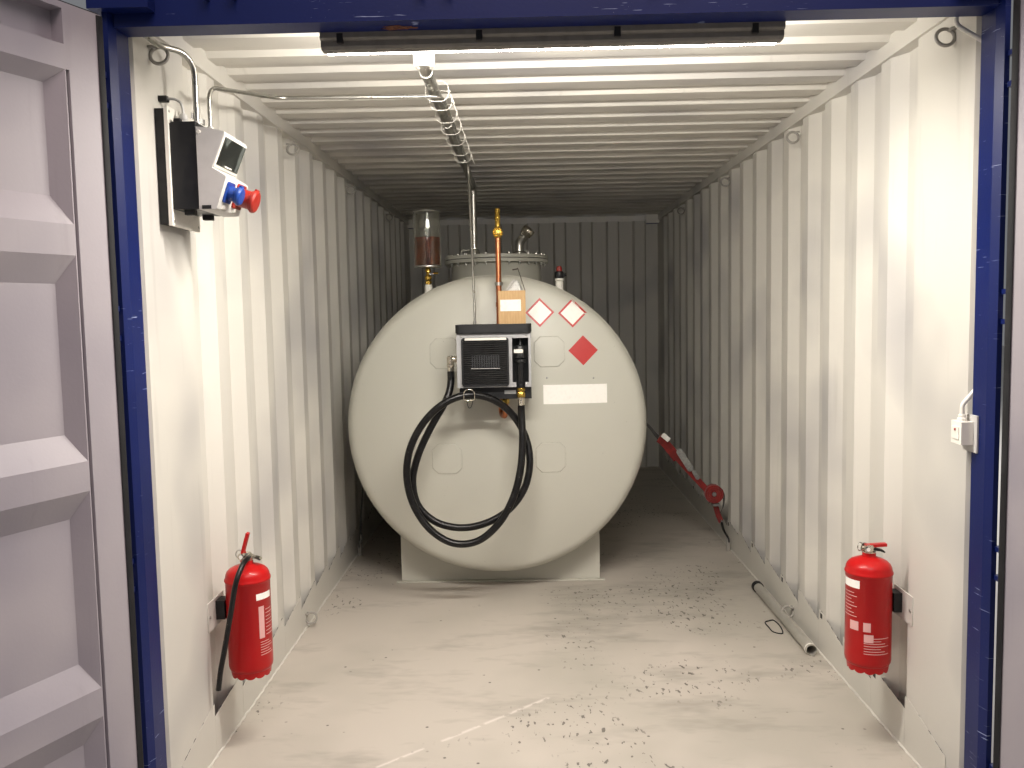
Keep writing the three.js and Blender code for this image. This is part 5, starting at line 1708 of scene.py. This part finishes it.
class PlaceExtinguishers(bpy.types.Operator):
    """Two powder cylinders with valve, levers, gauge and blank labels, each on its wall plate."""

    bl_idname = "fuel_station.place_extinguishers"
    bl_label = "Place the extinguishers"

    def execute(self, context):
        for side, facts in EXTINGUISHERS.items():
            self.cylinder(side, facts)
            self.bracket(side, facts)
        return {"FINISHED"}

    def bracket(self, side, facts):
        """A thin plate screwed to the wall, and a black block between the cylinder's back and the plate, its
        black the painted shade there.
        """
        sign = 1 if side == "right" else -1
        y, (y0, y1) = facts["y"], facts["plate"]
        back = abs(facts["x"]) + 75.3
        parts = [
            (plate(rounded(y1 - y0, 100, 2, 2, ((y0 + y1) / 2, 650)), "x", 1172, 1175.6), plain_inside()),
            # The block is black as painted shade between the cylinder and the plate.
            (slab((back, y - 28, 622), (1172.2, y + 28, 688)), black_nylon()),
        ]
        for y in (y0 + 12, y1 - 12):
            parts.append((bolt((1172.2, y, 650), (-1, 0, 0), 6, 4), galvanised()))
        shapes = [(shape if sign > 0 else mirrored(shape), look) for shape, look in parts]
        name = f"{side}_extinguisher_bracket"
        make(name + "_skin", shapes, bevel=0.8)

    def cylinder(self, side, facts):
        """The drawn shell with its shoulder seam and scalloped foot, plain labels, and the head on top."""
        x, y = facts["x"], facts["y"]
        base = np.array([x, y, 420.0])
        shell = [(0, 20), (52, 18), (62, 19), (69, 23), (73.4, 30), (75, 40), (75, 332), (76.6, 334),
                 (78, 336.5), (78, 340.5), (76.6, 343.5), (74.8, 347), (73.4, 356), (69, 366), (60, 375),
                 (46, 382), (32, 387), (23, 391), (22, 394), (22, 405), (0, 405)]
        parts = [(upright(base, shell, 72), red_powder()), (self.foot(base), red_powder())]
        for k, (low, high, start, end) in enumerate(facts["patches"]):
            look = pale_print() if k else white_vinyl()
            parts.append((sleeve(x, y, 75, 0.5, low, high, *np.radians([start, end])), look))
        for low, high, pitch, start, end in facts["lines"]:
            for k, z in enumerate(np.arange(low, high, pitch)):
                short = end - (end - start) * 0.18 * (k % 3)
                parts.append((sleeve(x, y, 75, 0.4, z, z + 2.4, *np.radians([start, short])), pale_print()))
        parts += self.head(x, y, facts)
        make(f"{side}_extinguisher_skin", parts, bevel=0.6, segments=1)

    def foot(self, base):
        """The rolled foot: a thin ring whose lower edge hangs in twelve lobes, low = 7 (1 - |sin 6t|^0.7)."""
        t = turns(144)
        low = 7 * (1 - np.abs(np.sin(6 * t)) ** 0.7)
        high = np.full_like(t, 24.0)
        rows = []
        for radius, height in ((69, high), (66, low), (63.6, low), (66.6, high)):
            rows.append(np.stack([radius * np.cos(t), radius * np.sin(t), height], -1))
        return np.concatenate(rows) + base, [woven(4, 144, True, True)]

    def head(self, x, y, facts):
        """A cast valve with its outlet, gauge and pin ring, the
        carrying handle and the red lever above it."""
        base = np.array([x, y, 0.0])
        shift, way, height = facts["hose"]
        mouth = base + [shift, 18.0 * way, height]
        (r0, z0), (r1, z1) = facts["lever"]
        ahead = unit(np.array([z1 - z0, r1 - r0], float))
        out = np.array([ahead[1], -ahead[0]])
        line = np.array([[820 + z0, x + r0], [820 + z1, x + r1]])
        lever = np.concatenate([line - out * 5, line[::-1] + out * 5])
        handle = [(834, x - 20), (842, x - 22), (842, x + 14), (832, x + 46), (826, x + 52), (823, x + 49),
                  (829, x + 34), (832, x + 12)]
        return [
            (upright(base, [(0, 820.5), (22, 820.5), (22, 828), (16, 831), (17, 844), (14, 851), (0, 853)],
                     24), nickel()),
            (rod(mouth - [0, 26.0 * way, 0], mouth - [0, 0.3 * way, 0], 10, 20), nickel()),
            (rod(base + [-26, 0, 838], base + [16, 0, 838], 8, 20), nickel()),
            (turned(base + [-12, -14, 840], (0, -1, 0),
                    [(0, 0), (7, 0), (7, 4), (12, 5), (12, 11), (10, 12), (0, 11.4)], 24), nickel()),
            (turned(base + [-12, -25, 840], (0, -1, 0), [(0, 0), (9.6, 0), (9.6, 0.8), (0, 0.8)], 24),
             white_vinyl()),
            (plate(lever, "y", y - 10, y + 10), red_powder()),
            (plate(handle, "y", y - 10, y + 10), black_nylon() if way > 0 else nickel()),
            (loop(base + [-28, 8, 842], (10, 6, 0), (0, 0, 14), 1.6, 24, 6), galvanised()),
        ]


class PlaceLooseItems(bpy.types.Operator):
    """The stowed pipe with its clamp and tie, the opened carton on the dispenser, and the lashing strap."""

    bl_idname = "fuel_station.place_loose_items"
    bl_label = "Place the loose items"

    def execute(self, context):
        self.pipe()
        self.carton()
        self.strap()
        return {"FINISHED"}

    def pipe(self):
        """A tube on the floor by the wall, a lined clamp on its far
        end, a ring on its near end, and a tie."""
        x, z = 1124, 182.3
        parts = [
            (pipe_wall((x, 1338, z), (x, 2240, z), 24, 2.5, 48), weathered_zinc()),
            (pipe_wall((x, 2196, z), (x, 2226, z), 24.1, -5.0, 40), black_nylon()),
            (pipe_wall((x, 1350, z), (x, 1358, z), 24.1, -1.4, 40), white_abs()),
        ]
        corners = [
            (1037, 1746), (1078, 1770), (1088, 1740), (1086, 1640), (1070, 1592), (1040, 1612), (1034, 1680)]
        path = flowing([(a, b, 161.4) for a, b in corners + corners[:2]], 80)
        parts.append((tube(path, 2.8, 8), black_nylon()))
        make("stowed_pipe_skin", parts)

    def carton(self):
        """Four walls and a floor of board with the flaps up, a blank label, and bubble film pushed inside."""
        x0, x1, y0, y1, z0, z1 = -217, -84, 1935, 2075, 1606.5, 1768
        board = 3.2
        walls = [
            (slab((x0, y0, z0), (x1, y0 + board, z1)), card()),
            (slab((x0, y1 - board, z0), (x1, y1, z1)), card()),
            (slab((x0, y0 + board + 0.2, z0), (x0 + board, y1 - board - 0.2, z1)), card()),
            (slab((x1 - board, y0 + board + 0.2, z0), (x1, y1 - board - 0.2, z1)), card()),
            (slab((x0 + board, y0 + board, z0), (x1 - board, y1 - board, z0 + board)), card()),
            # The upright lid flap and its curled tip in near-black board: painted shade on their inner face.
            (plate([(1768, -84), (1768, -87.2), (1878, -121), (1879, -118)], "y", 1942, 2068), shaded_card()),
            (plate([(1879, -118), (1876, -120), (1871, -146), (1874, -147)], "y", 1990, 2060), shaded_card()),
            (slab((-208, 1934.3, 1668), (-107, 1934.9, 1724)), paper()),
        ]
        make("carton_skin", walls, bevel=0.8)
        n = 40
        u, v = np.meshgrid(np.linspace(0, 1, n), np.linspace(0, 1, n), indexing="ij")
        dome = np.sin(np.pi * u**1.6) ** 0.5 * np.sin(np.pi * v) ** 0.5
        z = 1722 + 92 * dome + 9 * dome * np.sin(9 * u + 5 * v) + 6 * dome * np.sin(17 * v - 6 * u + 1)
        points = np.stack([-212.5 + 124 * u, 1939.5 + 131 * v, z], -1).reshape(-1, 3)
        make("carton_filling", [((points, [woven(n, n)]), bubble_film())], soft=80)

    def strap(self):
        """Webbing over the tank, black where it is loaded and red where it turns its face to the door."""
        t = np.radians(np.linspace(183, -3, 90))
        arc = np.stack([TANK_X + 802 * np.cos(t), np.full(90, STRAP_Y), TANK_Z + 802 * np.sin(t)], -1)
        left = flowing([(-1146, 3000, 262), (-1126, 3000, 520), (-1094, 3000, 800), (-1062, 3000, 940)], 30)
        right = flowing([
            (566, 3000, 996), (610, 3000, 984), (655, 3000, 956), (705, 3000, 894), (722, 3000, 876)], 24)
        path = np.concatenate([left, arc, right])
        turn = np.concatenate([np.zeros(120), np.linspace(0.05, 0.5, 24)])
        shape, run = self.band(path, 25, 3.0, turn)
        make("lashing_strap_band", [(shape, dark_webbing())], run=run, replaces=["lashing_strap"],
             soft=50)
        pieces = {
            "lashing_strap_fold": ([(722, 876), (750, 852), (792, 802), (836, 744)], 29, (1.15, 1.35)),
            "lashing_strap_lower": ([
                (826, 760), (900, 676), (960, 608), (1010, 552), (1056, 500)], 20, (1.3, 1.1)),
            "lashing_strap_tail": ([(1060, 486), (1072, 440), (1086, 390), (1104, 346)], 21, (1.1, 0.9)),
            "lashing_strap_end": ([(1104, 540), (1120, 500), (1116, 440), (1098, 400)], 20, (0.7, 0.2)),
        }
        for name, (line, half, (start, end)) in pieces.items():
            path = flowing([(x, 2990, z) for x, z in line], 30)
            shape, run = self.band(path, half, 2.6, np.linspace(start, end, 30))
            look = dark_webbing() if name.endswith("end") else red_webbing()
            make(name, [(shape, look)], run=run, soft=50)
        self.ratchet()

    def band(self, path, half, thick, turn):
        """A flat band along a line in an upright plane: its width starts across
        that plane and turns about the line by an angle in radians, corner =
        line +- half (y cos + side sin) +- thick / 2 (their normal)."""
        ahead = unit(np.gradient(path, axis=0))
        flat = np.broadcast_to([0.0, 1.0, 0.0], ahead.shape)
        wide = flat * np.cos(turn)[:, None] + np.cross(ahead, flat) * np.sin(turn)[:, None]
        out = np.cross(ahead, wide)
        n = len(path)
        corners = ((1, 1), (1, -1), (-1, -1), (-1, 1))
        points = np.stack([path + wide * half * a + out * thick / 2 * b for a, b in corners])
        way = way_along(path)
        ends = np.array([[0, n, 2 * n, 3 * n], [n - 1, 4 * n - 1, 3 * n - 1, 2 * n - 1]])
        return (points.reshape(-1, 3), [woven(4, n, True, False), ends]), np.tile(way, 4)

    def ratchet(self):
        """A pressed handle and its cheeks along the strap, the wound red reel, hooks, wall lugs and a tag."""
        ahead = unit(np.array([964.0 - 847, 0, 607 - 797]))
        across = np.array([-ahead[2], 0, ahead[0]])
        turn = np.stack([ahead, [0, 1, 0], across], -1)
        parts = []
        for at, long, wide, y in (((880, 2978, 736), 158, 40, 0), ((880, 2978, 736), 158, 40, 34),
                                  ((945, 2974, 644), 66, 24, 0)):
            shape = plate(rounded(long, wide, wide * 0.42, 6), "z", 0, 3)
            stood = (shape[0][:, [0, 2, 1]] + [0, y, 0], shape[1])
            parts.append((moved(stood, at, turn), spangled_zinc()))
        for s, r in ((-62, 6), (-20, 5), (66, 11)):
            at = np.array([880.0, 2974, 736]) + ahead * s
            parts.append((rod(at, at + [0, 46, 0], r, 20), spangled_zinc()))
        reel = np.array([1056.0, 2960, 524])
        for k in range(6):
            wound = pipe_wall(
                reel + [0, 2 * (k % 2), 0], reel + [0, 50 - 2 * (k % 2), 0], 57 - 7 * k, 6.6, 48)
            parts.append((wound, red_webbing()))
        parts.append((rod(reel - [0, 5, 0], reel + [0, 56, 0], 13, 20), spangled_zinc()))
        parts.append((slab((1046, 2962, 449), (1092, 3008, 462)), spangled_zinc()))
        for x, top, look in ((1, 352, black_abs()), (-1, 300, spangled_zinc())):
            foot = np.array([x * 1150.0, 3000, 236])
            head = np.array([x * 1106.0, 2992, top]) if x > 0 else foot + [10, 0, 60]
            for y in (-14, 14):
                hook = [head + [0, y, 0], (head + foot) / 2 + [-8 * x, y, 0], foot + [0, y, 0],
                        foot + [4 * x, y * 0.4, -22]]
                parts.append((tube(flowing(hook, 20), 5.5, 12), look))
            parts.append((rod(head + [0, -24, 0], head + [0, 24, 0], 6, 12), spangled_zinc()))
            # The wall lug in the same darker grey: painted shade.
            parts.append((slab(foot + [-11, -9, -77.5], foot + [11, 9, 4]), shaded_ring_enamel()))
        tag = plate(rounded(56, 30, 2, 2), "z", 0, 0.8)
        parts.append((
            moved((tag[0][:, [0, 2, 1]], tag[1]), (760, 2962, 882), spin("Y", 0.72)), white_vinyl()))
        make("lashing_ratchet", parts, bevel=0.6, segments=1)


# Settings, stage and panel


class ColourSettings(bpy.types.PropertyGroup):
    """The paints of the container."""

    outside: bpy.props.FloatVectorProperty(
        name="Outside", description="Enamel on the frame and outside", subtype="COLOR", size=4,
        min=0.0, max=1.0, default=linear("#0b1c58"))
    inside: bpy.props.FloatVectorProperty(
        name="Inside", description="Enamel on the walls and roof inside", subtype="COLOR", size=4,
        min=0.0, max=1.0, default=linear("#cfccc4"))
    leaf: bpy.props.FloatVectorProperty(
        name="Door leaves", description="Enamel on the inner side of the doors", subtype="COLOR", size=4,
        min=0.0, max=1.0, default=linear("#a19ba0"))
    deck: bpy.props.FloatVectorProperty(
        name="Deck", description="Paint on the floor plate", subtype="COLOR", size=4,
        min=0.0, max=1.0, default=linear("#bab3a9"))


class TankSettings(bpy.types.PropertyGroup):
    """The tank's look."""

    colour: bpy.props.FloatVectorProperty(
        name="Tank", description="Topcoat of the tank and its saddles", subtype="COLOR", size=4,
        min=0.0, max=1.0, default=linear("#bfbeb3"))
    sides: bpy.props.IntProperty(
        name="Sides", description="Facets round the shell and the ends", min=48, max=256, default=144)


class PumpSettings(bpy.types.PropertyGroup):
    """The dispenser's look."""

    colour: bpy.props.FloatVectorProperty(
        name="Case", description="Powder coat of the dispenser's case", subtype="COLOR", size=4,
        min=0.0, max=1.0, default=linear("#b4b4b5"))


class ExtinguisherSettings(bpy.types.PropertyGroup):
    """The extinguishers' look."""

    colour: bpy.props.FloatVectorProperty(
        name="Cylinder", description="Powder coat of the cylinders", subtype="COLOR", size=4,
        min=0.0, max=1.0, default=linear("#b01213"))


class StageSettings(bpy.types.PropertyGroup):
    """Camera and light of the picture."""

    lens: bpy.props.FloatProperty(
        name="Lens", description="Focal length", unit="CAMERA", min=15.0, max=120.0, default=30.52)
    sky: bpy.props.FloatProperty(
        name="Sky", description="Strength of the even light", min=0.0, max=5.0, default=0.22)
    key: bpy.props.FloatProperty(
        name="Key light", description="Power of the high soft light", unit="POWER", min=0.0, default=75.0)
    lamp: bpy.props.FloatProperty(
        name="Lamp", description="Power under the batten lamp", unit="POWER", min=0.0, default=45.0)


def chosen(group):
    """The settings of a group."""
    return getattr(bpy.context.scene, "station_" + group)


def colours():
    """The container's paints."""
    return chosen("colours")


# Name, the setting that gives its power and the share of that, place and aim in metres, width, depth, colour
LIGHTS = (
    ("lamp_glow", "lamp", 1, (0, DOOR_END + 0.2, 2.393), (0, 0, -1), 1.25, 0.03, "#fff8ee"),
    ("lamp_side_glow", "lamp", 0.44, (0, DOOR_END + 0.226, 2.408), (0, 1, 0.12), 1.25, 0.03, "#fff8ee"),
    ("high_soft", "key", 2.1, (0.6, -5.6, 5.4), (0, 0.8, -0.6), 3.4, 2.4, "#ffe9e4"),
    ("left_soft", "key", 5, (-6.5, 2.5, 4.5), (0.8, -0.1, -0.6), 5.0, 4.0, "#fbf4f6"),
    ("right_soft", "key", 5, (6.5, 2.5, 4.5), (-0.8, -0.1, -0.6), 5.0, 4.0, "#fffaf2"),
    ("back_soft", "key", 5, (0.0, 8.5, 4.5), (0, -0.8, -0.6), 5.0, 4.0, "#f4f6ff"),
)
CAMERA_YAW, CAMERA_PITCH, CAMERA_ROLL = -0.98, 4.65, -1.10
CAMERA_PLACE = (-0.085, -2.324 + DOOR_END, 1.657)
FLOOR_REACH = 30.0


class SetStage(bpy.types.Operator):
    """The camera at the photo's angle, a pale floor, soft studio light and the lamp's own light."""

    bl_idname = "fuel_station.set_stage"
    bl_label = "Set the stage"

    def execute(self, context):
        stage = chosen("stage")
        self.camera(context, stage)
        self.floor()
        world = bpy.data.worlds.new("soft_room")
        world.use_nodes = True
        background = world.node_tree.nodes["Background"]
        background.inputs["Color"].default_value = linear("#e8ebf0")
        background.inputs["Strength"].default_value = stage.sky
        context.scene.world = world
        context.scene.view_settings.view_transform = "Standard"
        for name, power, share, *rest in LIGHTS:
            self.area(name, getattr(stage, power) * share, *rest)
        return {"FINISHED"}

    def camera(self, context, stage):
        """Yaw, pitch downwards and roll in degrees, found from the container's edges in the photo."""
        yaw, pitch, roll = map(math.radians, (CAMERA_YAW, CAMERA_PITCH, CAMERA_ROLL))
        ahead = np.array([math.sin(yaw) * math.cos(pitch), math.cos(yaw) * math.cos(pitch), -math.sin(pitch)])
        right = np.array([math.cos(yaw), -math.sin(yaw), 0.0])
        up = np.cross(right, ahead)
        across = right * math.cos(roll) + up * math.sin(roll)
        above = up * math.cos(roll) - right * math.sin(roll)
        place = Matrix(np.stack([across, above, -ahead], -1).tolist()).to_4x4()
        place.translation = CAMERA_PLACE
        camera = bpy.data.cameras.new("photo_camera")
        camera.sensor_width = SENSOR_WIDTH
        camera.lens = stage.lens
        holder = bpy.data.objects.new("photo_camera", camera)
        holder.matrix_world = place
        context.scene.collection.objects.link(holder)
        context.scene.camera = holder

    def floor(self):
        """A pale matt floor, wide enough for every view."""
        f = Finish("pale_concrete", "#c9c7c2", 0.8)
        f.tint("#b6b3ad", f.spread(900, 0.4, 0.7, 5), 0.4)
        f.raised(f.spread(12, 0.3, 0.7, 3), 0.2)
        mesh = bpy.data.meshes.new("studio_floor")
        corners = [(x * FLOOR_REACH, y * FLOOR_REACH, 0) for x, y in ((-1, -1), (1, -1), (1, 1), (-1, 1))]
        mesh.from_pydata(corners, [], [(0, 1, 2, 3)])
        mesh.materials.append(f.done())
        ground = bpy.data.objects.new("studio_floor", mesh)
        bpy.context.scene.collection.objects.link(ground)

    def area(self, name, power, place, aim, wide, deep, colour):
        """A rectangular light at a place, looking along a direction."""
        light = bpy.data.lights.new(name, "AREA")
        light.shape = "RECTANGLE"
        light.size, light.size_y, light.energy = wide, deep, power
        light.color = linear(colour)[:3]
        right, up, back = axes_of(-np.asarray(aim, float))
        holder = bpy.data.objects.new(name, light)
        holder.matrix_world = Matrix(np.stack([right, up, back], -1).tolist()).to_4x4()
        holder.matrix_world.translation = place
        holder.visible_camera = False
        bpy.context.scene.collection.objects.link(holder)


STEPS = (
    SetStage, LayHoses, PaintFrame, PaintShell, FitDoors, FitSmallSteel, BuildTank, FitSigns, BuildManhole,
    FitTankTop, BuildSuction, BuildDispenser, FitElectrics, PlaceExtinguishers, PlaceLooseItems)
GROUPS = {
    "station_colours": ColourSettings,
    "station_tank": TankSettings,
    "station_pump": PumpSettings,
    "station_extinguishers": ExtinguisherSettings,
    "station_stage": StageSettings,
}


class StationPanel(bpy.types.Panel):
    """Lists the settings and the steps in the sidebar of the 3D view."""

    bl_idname = "VIEW3D_PT_fuel_station"
    bl_label = "Fuel station"
    bl_space_type = "VIEW_3D"
    bl_region_type = "UI"
    bl_category = "Fuel station"

    def draw(self, context):
        for name, group in GROUPS.items():
            settings = getattr(context.scene, name)
            for key in group.__annotations__:
                self.layout.prop(settings, key)
        for step in STEPS:
            self.layout.operator(step.bl_idname)


def register():
    """Registers the settings, the operators and the panel."""
    for name, group in GROUPS.items():
        bpy.utils.register_class(group)
        setattr(bpy.types.Scene, name, bpy.props.PointerProperty(type=group))
    for cls in (*STEPS, StationPanel):
        bpy.utils.register_class(cls)


def unregister():
    """Takes back what register did, in the opposite order."""
    for cls in (StationPanel, *reversed(STEPS)):
        bpy.utils.unregister_class(cls)
    for name, group in reversed(list(GROUPS.items())):
        delattr(bpy.types.Scene, name)
        bpy.utils.unregister_class(group)


def main():
    """Runs every step in order."""
    register()
    for step in STEPS:
        getattr(bpy.ops.fuel_station, step.bl_idname.split(".")[1])()


if __name__ == "__main__":
    main()
